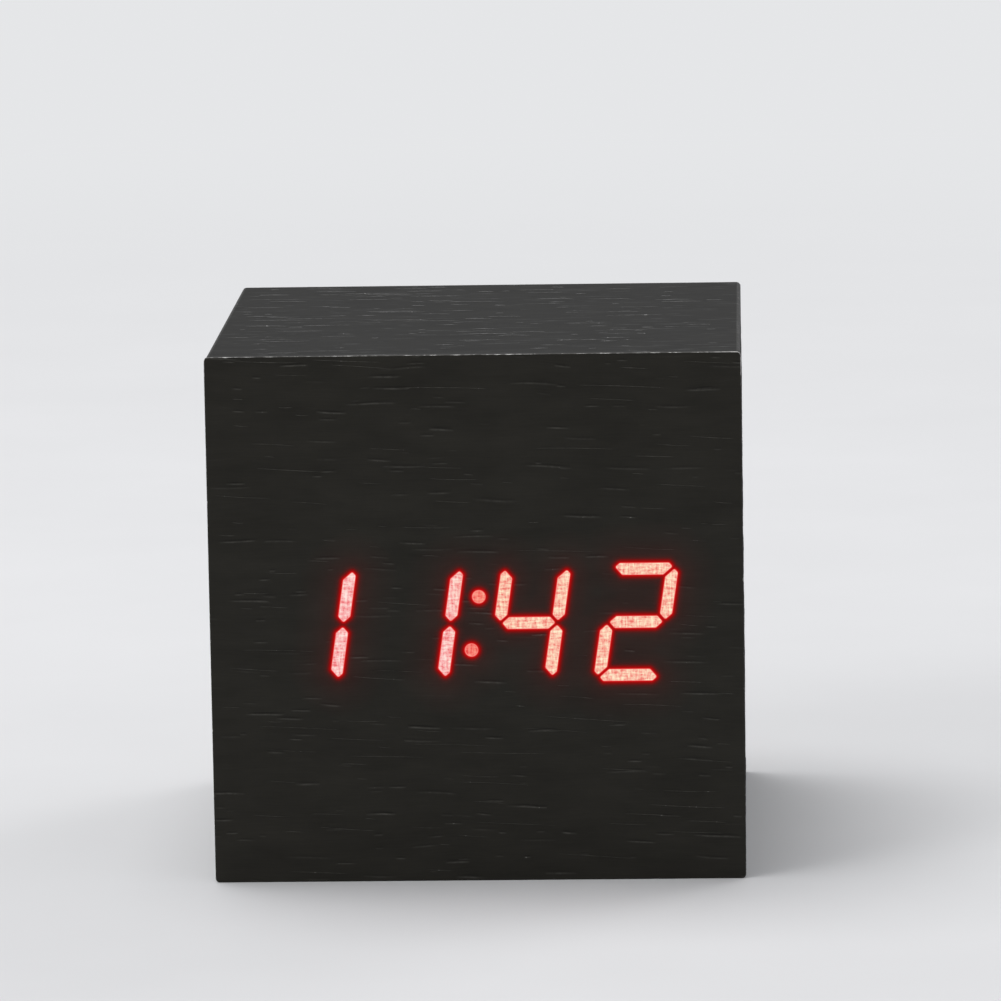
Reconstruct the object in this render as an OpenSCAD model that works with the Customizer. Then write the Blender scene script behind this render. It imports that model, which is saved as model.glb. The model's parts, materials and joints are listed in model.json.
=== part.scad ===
// Cube alarm clock: a fibreboard box under wood-grain film, with a four-digit display behind the film of its
// front and a moulded back that carries the buttons, the power socket and the battery tray.
// The front faces -Y, the base lies on Z = 0 and the origin is the middle of the base.

/* [Case] */
// Outer edge of the cube
cube_w = 62; // [61:0.5:80]
// Thickness of the wood-grain film
film_t = 0.4; // [0.2:0.1:0.6]
// Thickness of the fibreboard walls
board_t = 4; // [3:0.25:4.5]
// Rounding of the cube's long edges
edge_r = 0.5; // [0.3:0.1:1]
// Depth of the back panel inside the rim
back_inset = 1; // [0.5:0.1:2]
// Side of the glued blocks in the corners behind the back panel
block_w = 6; // [5:0.25:6.5]
// Length of the corner blocks
block_l = 12; // [10:0.5:16]

/* [Display] */
// Distance between neighbouring digits
digit_pitch = 12.45; // [11.5:0.05:13]
// Distance between the two upright strokes of a digit
digit_w = 6.68; // [6:0.02:7.2]
// Distance between neighbouring level strokes of a digit
row_step = 6.24; // [5.6:0.02:7]
// Width of a stroke
stroke_w = 1.43; // [1:0.01:1.8]
// Gap between neighbouring strokes
stroke_gap = 0.34; // [0.3:0.02:0.6]
// How far the outer tip of a corner reaches past the strokes' middle lines
corner_tip = 0.24; // [0.1:0.02:0.5]
// Slant of the digits in degrees
slant = 8.6; // [0:0.1:12]
// Radius of a colon dot
colon_r = 0.78; // [0.5:0.02:1]
// Distance between the colon dots
colon_step = 6.28; // [5:0.02:7.5]
// Sideways place of the display's middle
display_x = -0.14; // [-0.5:0.02:0.5]
// Height of the display's middle above the base
display_z = 30.5; // [28:0.25:34]
// Depth of the display housing
housing_d = 8; // [6.5:0.25:10]
// Thickness of the diffuser plugs
plug_t = 3; // [1:0.25:4]

/* [Boards] */
// Thickness of the circuit boards
pcb_t = 1.6; // [1:0.1:2]
// Height of the main board
main_h = 46; // [44:0.5:50]
// Radius of the board spacers
spacer_r = 2.2; // [1.8:0.1:2.6]
// Shank radius of the board screws
board_screw_r = 0.9; // [0.7:0.05:1.1]

/* [Battery] */
// Diameter of a cell
cell_d = 10.5; // [10:0.05:10.7]
// Length of a cell with its button
cell_l = 44.5; // [43:0.1:45]
// Height of a cell's positive button
nub_h = 1.2; // [0.8:0.1:1.5]
// Radius of a cell's positive button
nub_r = 1.9; // [1.5:0.1:2.4]
// Room that a contact spring takes between its plate and the cell
spring_l = 2.9; // [2.8:0.1:3.4]
// Wire diameter of the contact springs
wire_d = 0.5; // [0.4:0.05:0.5]
// Thickness of the contact plates
contact_t = 0.4; // [0.3:0.05:0.5]
// Wall of the battery tray
tray_wall = 1.2; // [0.9:0.1:1.4]

/* [Back] */
// Thickness of the back panel
panel_t = 2.6; // [2.4:0.1:3]
// Thickness of the battery door
door_t = 1.8; // [1.6:0.1:2]
// Width of the ledge under the edges of the door
door_ledge = 0.8; // [0.5:0.1:1]
// Radius of the door's hinge stubs
hinge_r = 0.55; // [0.45:0.05:0.6]
// Length of the door's hinge stubs
hinge_l = 0.85; // [0.6:0.05:1.2]
// Shank radius of the back screws
back_screw_r = 1; // [0.8:0.05:1.2]
// Head radius of the back screws
back_head_r = 2; // [1.7:0.1:2.2]

/* [Buttons] */
// Radius of a button cap
cap_r = 2.9; // [2.4:0.1:3]
// Radius of the flange that keeps a button in
flange_r = 3.6; // [3.3:0.1:3.8]
// Distance between neighbouring buttons
button_pitch = 9; // [8.6:0.1:9.2]
// Sideways place of the first button
button_x = -3; // [-3.2:0.1:-2.6]
// How far a cap stands out of the back panel
cap_proud = 0.7; // [0.5:0.1:0.9]
// Length of the posts that hold the button board
post_l = 7; // [6.6:0.1:8]
// Radius of those posts
post_r = 1.6; // [1.4:0.05:1.7]
// Side of a switch body
switch_w = 4.5; // [4:0.1:5]
// Height of a switch body
switch_h = 3.2; // [2.8:0.1:3.4]
// Radius of a switch stem
stem_r = 1; // [0.8:0.05:1.2]

/* [Power] */
// Sideways place of the power socket
jack_x = -15.5; // [-16:0.1:-15]
// Side of the socket's body
jack_w = 7; // [6.6:0.1:7.6]
// Radius of the socket's nose in the panel
jack_nose_r = 3.2; // [2.8:0.1:3.3]
// Radius of the socket's bore
jack_bore_r = 1.85; // [1.75:0.05:2.2]
// Radius of the socket's centre pin
jack_pin_r = 0.65; // [0.5:0.05:0.8]
// Radius of the microphone
mic_r = 2; // [1.6:0.1:2.2]

/* [Hidden] */
$fn = 48;

// Clearances
panel_play = 0.1;
window_play = 0.1;
well_play = 0.03;
screw_play = 0.02;
hole_play = 0.15;
cell_play = 0.2;
cell_gap = 0.4;
door_play = 0.15;
door_seat = 0.1;
hinge_play = 0.05;
button_play = 0.1;
stem_play = 0.05;
stem_clear = 0.2;
post_play = 0.32;
jack_play = 0.1;
board_gap = 0.6;
seam = 0.2;
// Overlap of joined shapes and of cuts
over = 0.5;
// Steps in a rounded corner
arc_steps = 4;

// Case planes
half = cube_w / 2;
mid = cube_w / 2;
shell = half - film_t;
room = shell - board_t;
film_y = -shell;
board_y = -room;
rear_y = half;
floor_z = mid - room;

// Display
slope = tan(slant);
digit_count = 4;
segments = 7;
module_margin = 0.4;
module_rim = 2.5;
module_w = digit_count * digit_pitch + module_margin;
module_h = 2 * row_step + stroke_w + 2 * module_rim;
led_w = 0.6;
led_h = 0.35;
pcb_y0 = film_y + housing_d;
pcb_y1 = pcb_y0 + pcb_t;

// Main board and what stands on it, as places from the cube's middle
main_w = 2 * (room - board_gap);
fix_in = 3;
spacer_wall = 0.9;
board_head_r = 1.9;
board_head_h = 1.3;
board_screw_bite = 2.2;
board_slot_w = 0.5;
slot_reach = 1.3;
chip_at = [0, 8.5];
chip_size = [17.9, 7.5, 2.3];
chip_pin_step = 1.27;
chip_pins = floor(chip_size[0] / chip_pin_step);
chip_pin_size = [0.4, 1.4, 0.9];
chip_lift = 0.1;
chip_pin_root = 0.2;
crystal_at = [16, 6];
crystal_r = 1;
crystal_l = 6;
capacitor_at = [-19, 10];
capacitor_r = 3.2;
capacitor_h = 8;
capacitor_groove = 0.3;
capacitor_groove_l = 4.5;
buzzer_at = [-15, -13.5];
buzzer_r = 6;
buzzer_h = 8.5;
buzzer_hole_r = 1;
thermistor_at = [17, 14];
thermistor_r = 1.3;
thermistor_leg_r = 0.25;
thermistor_leg_l = 3;
coin_at = [12, -10.5];
coin_r = 10;
coin_h = 3.2;
coin_cup_t = 0.6;
coin_cup_wall = 0.8;
coin_play = 0.2;
strap_t = 0.3;
strap_w = 5;
header_h = 6;
ribbon_at = [0, 19];
ribbon_header_size = [17, 4.5];
ribbon_plug_size = [16, 3.6];
ribbon_plug_l = 4;
battery_at = [-14, 0];
battery_header_size = [5.8, 7.5];
lead_step = 2.5;
lead_r = 0.6;

// Back panel planes
panel_half = room - panel_play;
panel_y1 = rear_y - back_inset;
panel_y0 = panel_y1 - panel_t;
back_hole_in = block_w / 2;
back_head_h = 1.3;
head_sink = 1.4;
back_screw_bite = 7;
back_slot_w = 0.6;

// Battery tray: three cells along X, one above the other
cells = 3;
cell_r = cell_d / 2;
cell_step = cell_d + cell_gap;
tray_half = (cell_l + 2 * contact_t + spring_l) / 2;
tray_z0 = floor_z + block_w + seam + tray_wall;
tray_z1 = tray_z0 + cells * cell_d + (cells - 1) * cell_gap + 2 * cell_play;
cell_y = panel_y0 - cell_play - cell_r;
tray_y1 = cell_y - cell_r - cell_play;
tray_y0 = tray_y1 - tray_wall;
tray_h = tray_z1 - tray_z0;
tray_mid = (tray_z0 + tray_z1) / 2;
tray_w = 2 * (tray_half + tray_wall);
tray_outer_h = tray_h + 2 * tray_wall;
divider_w = 1.4;
divider_h = 1.5;
contact_w = 8;
contact_h = 9.5;
tab_w = 2.5;
tab_l = 3;
tab_play = 0.1;
spring_r0 = 3.4;
spring_r1 = 2;
spring_turns = 2.5;
turn_rings = 8;
wire_sides = 6;
door_tuck = 1.2;

// Battery door in its rebate
open_half = tray_half - door_tuck;
rebate_half = open_half + door_ledge;
rebate_z0 = tray_z0 - door_ledge;
rebate_z1 = tray_z1 + door_ledge;
door_half = rebate_half - door_play;
door_z0 = rebate_z0 + door_play;
door_z1 = rebate_z1 - door_play;
door_y0 = panel_y1 - door_t;
hinge_y = panel_y1 - door_t / 2;
hinge_z = door_z0 + door_t / 2;
notch_r = 12;
notch_rise = 2;
notch_depth = 1.2;
tongue_half = 5;
tongue_slot = 0.6;
tongue_l = 7;
tab_rise = 1.1;
tab_half = 4;
grip_count = 5;
grip_step = 1.1;
grip_w = 0.5;
grip_depth = 0.35;
grip_l = 8;
grip_top = 2;
rib_w = 1.2;
rib_h = 0.8;
rib_x = 13;
rib_clear = 3;

// Buttons, microphone and socket on their board
buttons = 3;
tray_top = tray_z1 + tray_wall;
panel_top = mid + panel_half;
button_z = (tray_top + panel_top) / 2;
back_pcb_y1 = panel_y0 - post_l;
back_pcb_y0 = back_pcb_y1 - pcb_t;
back_pcb_half = room - block_w - seam;
back_pcb_h = panel_top - tray_top - 2 * board_gap;
flange_t = 1;
plunger_r = 1.4;
stem_out = 1.4;
stem_in = 1.5;
button_travel = 0.5;
stem_room = stem_in + button_travel + stem_clear;
cap_dish = 0.25;
cap_dish_r = 23;
mark_h = 0.2;
mark_w = 1.6;
mark_up = 1.5;
mic_x = (jack_x + jack_w / 2 + button_x - flange_r) / 2;
mic_rise = 3;
mic_z = button_z + mic_rise;
mic_h = 2.2;
mic_hole_r = 0.6;
mic_boot_r = 0.9;
post_bore = 5;
post_screw_r = 0.8;
post_head_r = 1.5;
post_head_h = 1;
post_slot_w = 0.4;
post_reach = flange_r + post_r + post_play;
post_drop = sqrt(max(0, pow(post_reach, 2) - pow(button_pitch / 2, 2)));
post_at = [[mic_x, button_z - post_drop], [(button_at(1) + button_at(2)) / 2, button_z - post_drop]];
jack_floor = 1.5;
jack_pin_short = 0.8;
jack_pin_root = 1;
jack_pin_lift = 0.2;
jack_tail_r = 0.35;

// Ribbon between the boards
ribbon_w = 12.7;
ribbon_t = 0.9;
ribbon_dip = 3;
ribbon_steps = 24;
ribbon_y0 = pcb_y1 + header_h + ribbon_plug_l;
ribbon_z0 = mid + ribbon_at[1];
ribbon_drop = 1.5;
ribbon_z1 = button_z - ribbon_drop;

// Routes of the two battery leads, from a contact's tab to the header on the main board
lead_sides = 8;
lead_cuts = 3;
tab_y = tray_y0 - tab_l;
tab_x = tray_half - contact_t / 2;
header_y = pcb_y1 + header_h;
header_x = battery_at[0];
header_z = mid + battery_at[1];
lead_end = 2;
function lead_start(side, z) = [for (i = [0 : 2]) [side * tab_x, tab_y - i * lead_end, z]];
function lead_finish(z) = [for (i = [2 : -1 : 0]) [header_x, header_y + i * lead_end, z]];
red_route = concat(
    lead_start(1, cell_z(2)), [[21, 3, 39], [12, -1, 37], [0, -4, 34], [-9, -7, 33]],
    lead_finish(header_z + lead_step / 2));
black_route = concat(
    lead_start(-1, cell_z(0)), [[-23, 3, 20], [-20, -3, 25], [-16, -7, 29]],
    lead_finish(header_z - lead_step / 2));

// Places
function cell_z(i) = tray_z0 + cell_play + cell_r + i * cell_step;
function digit_x(i) = display_x + (i - (digit_count - 1) / 2) * digit_pitch;
function button_at(i) = button_x + i * button_pitch;
// A cell's positive end points to +X on the even cells and to -X on the odd ones
function cell_side(i) = i % 2 == 0 ? 1 : -1;

// Outlines
function arc(centre, r, from) = [
    for (i = [0 : arc_steps]) let (a = from + 90 * i / arc_steps) centre + r * [cos(a), sin(a)]
];
function round_square(h, r) = let (c = h - r) [
    each arc([c, c], r, 0), each arc([-c, c], r, 90), each arc([-c, -c], r, 180), each arc([c, -c], r, 270)
];
function leaned(points) = [for (p = points) [p[0] + p[1] * slope, p[1]]];
function flipped(points, sx, sy) = [for (p = points) [sx * p[0], sy * p[1]]];

// The strokes of a digit about its middle, before the slant, each grown by c on every side
function level_stroke(c) =
    let (x = digit_w / 2, y = row_step, w = stroke_w / 2 + c,
         s = stroke_gap / sqrt(2) - c * sqrt(2), k = corner_tip + c * sqrt(2))
    [[x - w - s, y - w], [x + (k - s) / 2, y + (k + s) / 2], [x + k - w, y + w],
     [w - x - k, y + w], [-x - (k - s) / 2, y + (k + s) / 2], [w + s - x, y - w]];
function upright_stroke(c) =
    let (x = digit_w / 2, y = row_step, w = stroke_w / 2 + c,
         s = stroke_gap / sqrt(2) - c * sqrt(2), k = corner_tip + c * sqrt(2))
    [[x - w, w + s], [x, s], [x + w, w + s],
     [x + w, y + k - w], [x + (k + s) / 2, y + (k - s) / 2], [x - w, y - w - s]];
function middle_stroke(c) =
    let (x = digit_w / 2, w = stroke_w / 2 + c, s = stroke_gap / sqrt(2) - c * sqrt(2))
    [[x - s, 0], [x - w - s, w], [w + s - x, w], [s - x, 0], [w + s - x, -w], [x - w - s, -w]];
function stroke(i, c) =
    i == 0 ? level_stroke(c) :
    i == 1 ? upright_stroke(c) :
    i == 2 ? flipped(upright_stroke(c), 1, -1) :
    i == 3 ? flipped(level_stroke(c), 1, -1) :
    i == 4 ? flipped(upright_stroke(c), -1, -1) :
    i == 5 ? flipped(upright_stroke(c), -1, 1) :
    middle_stroke(c);
function stroke_middle(i) =
    leaned([[[0, row_step], [digit_w / 2, row_step / 2], [digit_w / 2, -row_step / 2], [0, -row_step],
             [-digit_w / 2, -row_step / 2], [-digit_w / 2, row_step / 2], [0, 0]][i]])[0];
function dot_middle(side) = leaned([[0, side * colon_step / 2]])[0];

// Tubes swept along points, with a ring of vertices round each point
function unit(v) = v / norm(v);
function way(points, i) = unit(points[min(i + 1, len(points) - 1)] - points[max(i - 1, 0)]);
function ring(p, t, up, r, sides) =
    let (u = unit(cross(t, up)), v = cross(t, u))
    [for (j = [0 : sides - 1]) p + r * (cos(360 * j / sides) * u + sin(360 * j / sides) * v)];
function curve_point(p0, p1, p2, p3, t) =
    0.5 * (2 * p1 + (p2 - p0) * t + (2 * p0 - 5 * p1 + 4 * p2 - p3) * pow(t, 2)
           + (3 * p1 - p0 - 3 * p2 + p3) * pow(t, 3));
function curve(points, cuts) = let (n = len(points) - 1) [
    for (i = [0 : n - 1], k = [0 : cuts - 1])
        curve_point(points[max(i - 1, 0)], points[i], points[i + 1], points[min(i + 2, n)], k / cuts),
    points[n]
];

// A contact spring along +X from its plate: a straight foot, a tapering coil and a straight tip
coil_rings = spring_turns * turn_rings;
coil_l = spring_l - 2 * wire_d;
function spring_radius(s) = spring_r0 + (spring_r1 - spring_r0) * s;
function spring_point(s, x) =
    let (a = 360 * spring_turns * s) [x, spring_radius(s) * cos(a), spring_radius(s) * sin(a)];
spring_path = [
    spring_point(0, 0),
    for (i = [0 : coil_rings]) spring_point(i / coil_rings, wire_d + coil_l * i / coil_rings),
    spring_point(1, spring_l)
];
spring_gap = min([
    for (i = [1 : coil_rings + 1], j = [1 : coil_rings + 1]) if (j - i > turn_rings / 2)
        norm(spring_path[i] - spring_path[j])
]) - wire_d;
echo(spring_gap = spring_gap);

// Solids that repeat
module wall(y0, y1) {
    translate([0, y1, 0]) rotate([90, 0, 0]) linear_extrude(y1 - y0) children();
}
module profile_x(x0, x1) {
    translate([x0, 0, 0]) rotate([90, 0, 90]) linear_extrude(x1 - x0) children();
}
module rod(at, r, y0, y1) {
    translate([at[0], y1, at[1]]) rotate([90, 0, 0]) cylinder(h = y1 - y0, r = r);
}
module block(at, w, h, y0, y1) {
    translate([at[0] - w / 2, y0, at[1] - h / 2]) cube([w, y1 - y0, h]);
}
module at_corners(dx, dz) {
    for (sx = [-1, 1], sz = [-1, 1]) translate([sx * dx, 0, mid + sz * dz]) children();
}
module on_board(at) {
    translate([at[0], pcb_y1, mid + at[1]]) children();
}
module tube(points, ups, r, sides) {
    n = len(points);
    rings = [for (i = [0 : n - 1]) each ring(points[i], way(points, i), ups[i], r, sides)];
    skin = [
        for (i = [0 : n - 2], j = [0 : sides - 1])
            let (a = i * sides + j, b = i * sides + (j + 1) % sides)
            each [[a, a + sides, b], [b, a + sides, b + sides]]
    ];
    first = [for (j = [1 : sides - 2]) [0, j, j + 1]];
    last = [for (j = [1 : sides - 2]) (n - 1) * sides * [1, 1, 1] + [0, j + 1, j]];
    polyhedron(points = rings, faces = concat(skin, first, last));
}
module screw(head_r, head_h, shank_r, shank_l, slot_w) {
    difference() {
        union() {
            rod([0, 0], head_r, 0, head_h);
            rod([0, 0], shank_r, -shank_l, over);
        }
        for (a = [0, 90])
            rotate([0, a, 0]) block([0, 0], slot_reach * head_r, slot_w, head_h / 2, head_h + over);
    }
}

// Case
module case_wall(turn) {
    translate([0, 0, mid]) rotate([0, turn, 0]) wall(board_y, rear_y)
        polygon([[-room, room], [room, room], [shell, shell], [-shell, shell]]);
}
// A side wall is cut where the battery tray, the door's stubs or the display would reach into it
module side_wall(turn) {
    difference() {
        case_wall(turn);
        block([0, tray_mid], tray_w + 2 * panel_play, tray_outer_h + 2 * panel_play,
              tab_y - tab_play, panel_y0);
        hinge_bore();
        display_window(board_y - over, pcb_y0 + over);
    }
}
module case_top() { color("#3a2c20") case_wall(0); }
module case_right() { color("#3a2c20") side_wall(90); }
module case_bottom() { color("#3a2c20") case_wall(180); }
module case_left() { color("#3a2c20") side_wall(270); }

module display_window(y0, y1) {
    block([display_x, display_z], module_w + 2 * window_play, module_h + 2 * window_play, y0, y1);
}

module case_front() {
    color("#3a2c20") difference() {
        block([0, mid], 2 * shell, 2 * shell, film_y, board_y);
        display_window(film_y - over, board_y + over);
        at_corners(main_w / 2 - fix_in, main_h / 2 - fix_in)
            rod([0, 0], board_screw_r + screw_play, board_y - board_screw_bite - over, board_y + over);
    }
}

module corner_blocks() {
    color("#4a3828") difference() {
        at_corners(room - block_w / 2, room - block_w / 2)
            block([0, 0], block_w, block_w, panel_y0 - block_l, panel_y0);
        at_corners(room - back_hole_in, room - back_hole_in)
            rod([0, 0], back_screw_r + screw_play, panel_y0 - back_screw_bite - over, panel_y0 + over);
        // Room for the flanges and the socket where they come near a block
        for (i = [0 : buttons - 1])
            rod([button_at(i), button_z], flange_r + button_play, back_pcb_y0, panel_y0 + over);
        block([jack_x, button_z], jack_w + 2 * jack_play, jack_w + 2 * jack_play,
              back_pcb_y0, panel_y0 + over);
    }
}

module side_veneer() {
    color("#262523") translate([0, 0, mid]) wall(film_y, rear_y) difference() {
        polygon(round_square(half, edge_r));
        square(2 * shell, center = true);
    }
}

module front_veneer() {
    color("#262523") translate([0, 0, mid]) wall(-half, film_y) polygon(round_square(half, edge_r));
}

// Display
module at_digit(i) {
    translate([digit_x(i), 0, display_z]) children();
}

module display_housing() {
    color("#2a2a2c") difference() {
        block([display_x, display_z], module_w, module_h, film_y, pcb_y0);
        for (i = [0 : digit_count - 1], k = [0 : segments - 1])
            at_digit(i) wall(film_y - over, pcb_y0 + over) polygon(leaned(stroke(k, well_play)));
        translate([display_x, 0, display_z]) for (side = [-1, 1])
            rod(dot_middle(side), colon_r + well_play, film_y - over, pcb_y0 + over);
    }
}

module digit(i) {
    color("#ff8f80") at_digit(i) for (k = [0 : segments - 1])
        wall(film_y, film_y + plug_t) polygon(leaned(stroke(k, 0)));
}
module digit_1() { digit(0); }
module digit_2() { digit(1); }
module digit_3() { digit(2); }
module digit_4() { digit(3); }

module colon() {
    color("#ff8f80") translate([display_x, 0, display_z]) for (side = [-1, 1])
        rod(dot_middle(side), colon_r, film_y, film_y + plug_t);
}

module led_chips() {
    color("#e8d9b0") {
        for (i = [0 : digit_count - 1], k = [0 : segments - 1])
            at_digit(i) block(stroke_middle(k), led_w, led_w, pcb_y0 - led_h, pcb_y0);
        translate([display_x, 0, display_z]) for (side = [-1, 1])
            block(dot_middle(side), led_w, led_w, pcb_y0 - led_h, pcb_y0);
    }
}

// Main board
module main_board() {
    color("#1f5a36") difference() {
        block([0, mid], main_w, main_h, pcb_y0, pcb_y1);
        at_corners(main_w / 2 - fix_in, main_h / 2 - fix_in)
            rod([0, 0], board_screw_r + hole_play, pcb_y0 - over, pcb_y1 + over);
    }
}

module board_spacers() {
    color("#d8d4c8") at_corners(main_w / 2 - fix_in, main_h / 2 - fix_in) difference() {
        rod([0, 0], spacer_r, board_y, pcb_y0);
        rod([0, 0], spacer_r - spacer_wall, board_y - over, pcb_y0 + over);
    }
}

module board_screws() {
    color("silver") at_corners(main_w / 2 - fix_in, main_h / 2 - fix_in)
        translate([0, pcb_y1, 0]) screw(board_head_r, board_head_h, board_screw_r,
                                        pcb_y1 - board_y + board_screw_bite, board_slot_w);
}

module controller_chip() {
    foot = chip_pin_size;
    color("#202022") on_board(chip_at) union() {
        block([0, 0], chip_size[0], chip_size[1], chip_lift, chip_size[2]);
        for (i = [0 : chip_pins - 1], side = [-1, 1])
            block([(i - (chip_pins - 1) / 2) * chip_pin_step, side * (chip_size[1] + foot[1]) / 2],
                  foot[0], foot[1] + chip_pin_root, 0, foot[2]);
    }
}

module clock_crystal() {
    color("silver") on_board(crystal_at) translate([-crystal_l / 2, crystal_r, 0])
        rotate([0, 90, 0]) cylinder(h = crystal_l, r = crystal_r);
}

module capacitor() {
    color("#2b2f6b") on_board(capacitor_at) difference() {
        rod([0, 0], capacitor_r, 0, capacitor_h);
        for (a = [0, 60, 120]) rotate([0, a, 0])
            block([0, 0], capacitor_groove_l, capacitor_groove, capacitor_h - capacitor_groove,
                  capacitor_h + over);
    }
}

module buzzer() {
    color("#151516") on_board(buzzer_at) difference() {
        rod([0, 0], buzzer_r, 0, buzzer_h);
        rod([0, 0], buzzer_hole_r, buzzer_h / 2, buzzer_h + over);
    }
}

module thermistor() {
    color("#3d2b1c") on_board(thermistor_at) union() {
        translate([0, thermistor_leg_l + thermistor_r / 2, 0]) sphere(thermistor_r);
        for (side = [-1, 1]) rod([side * thermistor_r / 2, 0], thermistor_leg_r, 0, thermistor_leg_l);
    }
}

module coin_cell_holder() {
    cup_r = coin_r + coin_play + coin_cup_wall;
    color("#e6e2d6") on_board(coin_at) difference() {
        rod([0, 0], cup_r, 0, coin_cup_t + coin_h);
        rod([0, 0], coin_r + coin_play, coin_cup_t, coin_cup_t + coin_h + over);
    }
}

module coin_cell() {
    color("gainsboro") on_board(coin_at) rod([0, 0], coin_r, coin_cup_t, coin_cup_t + coin_h);
}

module coin_cell_strap() {
    reach = coin_r + coin_play + coin_cup_wall + strap_t;
    top = coin_cup_t + coin_h;
    color("silver") on_board(coin_at) union() {
        block([0, 0], 2 * reach, strap_w, top, top + strap_t);
        for (side = [-1, 1])
            block([side * (reach - strap_t / 2), 0], strap_t, strap_w, 0, top + strap_t);
    }
}

module ribbon_header() {
    color("ivory") on_board(ribbon_at)
        block([0, 0], ribbon_header_size[0], ribbon_header_size[1], 0, header_h);
}

module battery_header() {
    color("ivory") on_board(battery_at)
        block([0, 0], battery_header_size[0], battery_header_size[1], 0, header_h);
}

module ribbon_plug() {
    color("ivory") on_board(ribbon_at)
        block([0, 0], ribbon_plug_size[0], ribbon_plug_size[1], header_h, header_h + ribbon_plug_l);
}

module ribbon_cable() {
    run = back_pcb_y0 - ribbon_y0;
    line = [
        for (i = [0 : ribbon_steps]) let (s = i / ribbon_steps)
            [ribbon_y0 + run * s, ribbon_z0 + (ribbon_z1 - ribbon_z0) * s - ribbon_dip * sin(180 * s)]
    ];
    under = [for (i = [ribbon_steps : -1 : 0]) line[i] - [0, ribbon_t]];
    color("#8d9096") profile_x(-ribbon_w / 2, ribbon_w / 2) polygon(concat(line, under));
}

// Back
module tab_slot(side, z) {
    block([side * (tray_half - (contact_t + tab_play) / 2), z], contact_t + tab_play, tab_w + 2 * tab_play,
          tray_y0 - over, tray_y1 + over);
}

module back_panel_solid() {
    block([0, mid], 2 * panel_half, 2 * panel_half, panel_y0, panel_y1);
    for (at = post_at) rod(at, post_r, back_pcb_y1, panel_y0 + over);
    for (i = [0 : buttons - 1]) button_mark(i);
}

module button_mark(i) {
    top = button_z + cap_r + mark_up;
    tri = i == 1 ? 1 : -1;
    translate([button_at(i), 0, top]) wall(panel_y1 - over, panel_y1 + mark_h)
        if (i == 0) circle(mark_w / 2);
        else polygon(mark_w * flipped([[-1 / 2, -1 / 3], [1 / 2, -1 / 3], [0, 1 / 2]], 1, tri));
}

module hinge_bore() {
    translate([-rebate_half - hinge_l, hinge_y, hinge_z])
        rotate([0, 90, 0]) cylinder(h = 2 * (rebate_half + hinge_l), r = hinge_r + hinge_play);
}

module back_panel() {
    color("#1d1d1f") difference() {
        back_panel_solid();
        // Mouth of the battery tray and the rebate for its door
        block([0, tray_mid], 2 * open_half, tray_h, panel_y0 - over, panel_y1 + over);
        block([0, tray_mid], 2 * rebate_half, rebate_z1 - rebate_z0, door_y0 - door_seat, panel_y1 + over);
        hinge_bore();
        rod([0, rebate_z1 + notch_rise - notch_r], notch_r, panel_y1 - notch_depth, panel_y1 + over);
        // Screws, buttons, socket and microphone
        at_corners(room - back_hole_in, room - back_hole_in) {
            rod([0, 0], back_screw_r + hole_play, panel_y0 - over, panel_y1);
            rod([0, 0], back_head_r + hole_play, panel_y1 - head_sink, panel_y1 + over);
        }
        for (i = [0 : buttons - 1])
            rod([button_at(i), button_z], cap_r + button_play, panel_y0 - over, panel_y1 + over);
        rod([jack_x, button_z], jack_nose_r + jack_play, panel_y0 - over, panel_y1 + over);
        rod([mic_x, mic_z], mic_hole_r, panel_y0 - over, panel_y1 + over);
        for (at = post_at)
            rod(at, post_screw_r + screw_play, back_pcb_y1 - over, back_pcb_y1 + post_bore);
    }
}

module battery_tray() {
    color("#1d1d1f") union() {
        difference() {
            block([0, tray_mid], tray_w, tray_outer_h, tray_y0, panel_y0);
            block([0, tray_mid], 2 * tray_half, tray_h, tray_y1, panel_y0 + over);
            tab_slot(1, cell_z(cells - 1));
            tab_slot(-1, cell_z(0));
        }
        // Low dividers on the tray's floor between the cells
        for (i = [0 : cells - 2])
            translate([-tray_half - over, tray_y1 - over, cell_z(i) + cell_step / 2 - divider_w / 2])
                cube([2 * (tray_half + over), divider_h + over, divider_w]);
    }
}

module battery_door() {
    grip_z = door_z1 - grip_top;
    color("#1d1d1f") difference() {
        union() {
            profile_x(-door_half, door_half) union() {
                translate([door_y0, hinge_z]) square([door_t, door_z1 - hinge_z]);
                translate([hinge_y, hinge_z]) circle(door_t / 2);
            }
            translate([-door_half - hinge_l, hinge_y, hinge_z])
                rotate([0, 90, 0]) cylinder(h = 2 * (door_half + hinge_l), r = hinge_r);
            block([0, door_z1], 2 * tab_half, 2 * tab_rise,
                  panel_y1 - notch_depth + door_seat, panel_y1 - door_seat);
            for (side = [-1, 1])
                translate([side * rib_x - rib_w / 2, door_y0 - rib_h, tray_z0 + rib_clear])
                    cube([rib_w, rib_h + over, tray_z1 - tray_z0 - 2 * rib_clear]);
        }
        for (side = [-1, 1])
            block([side * (tongue_half + tongue_slot / 2), door_z1], tongue_slot, 2 * tongue_l,
                  door_y0 - over, panel_y1 + over);
        for (i = [0 : grip_count - 1])
            block([0, grip_z - i * grip_step], grip_l, grip_w,
                  panel_y1 - grip_depth, panel_y1 + over);
    }
}

module button(i) {
    outer = panel_y1 + cap_proud;
    seat = panel_y0 - button_play;
    color("#2a2a2c") difference() {
        union() {
            rod([button_at(i), button_z], cap_r, seat - flange_t, outer);
            rod([button_at(i), button_z], flange_r, seat - flange_t, seat);
            rod([button_at(i), button_z], plunger_r, back_pcb_y1 + switch_h + stem_out,
                seat - flange_t + over);
        }
        translate([button_at(i), outer + cap_dish_r - cap_dish, button_z]) sphere(cap_dish_r, $fn = 96);
    }
}
module set_button() { button(0); }
module up_button() { button(1); }
module down_button() { button(2); }

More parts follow.
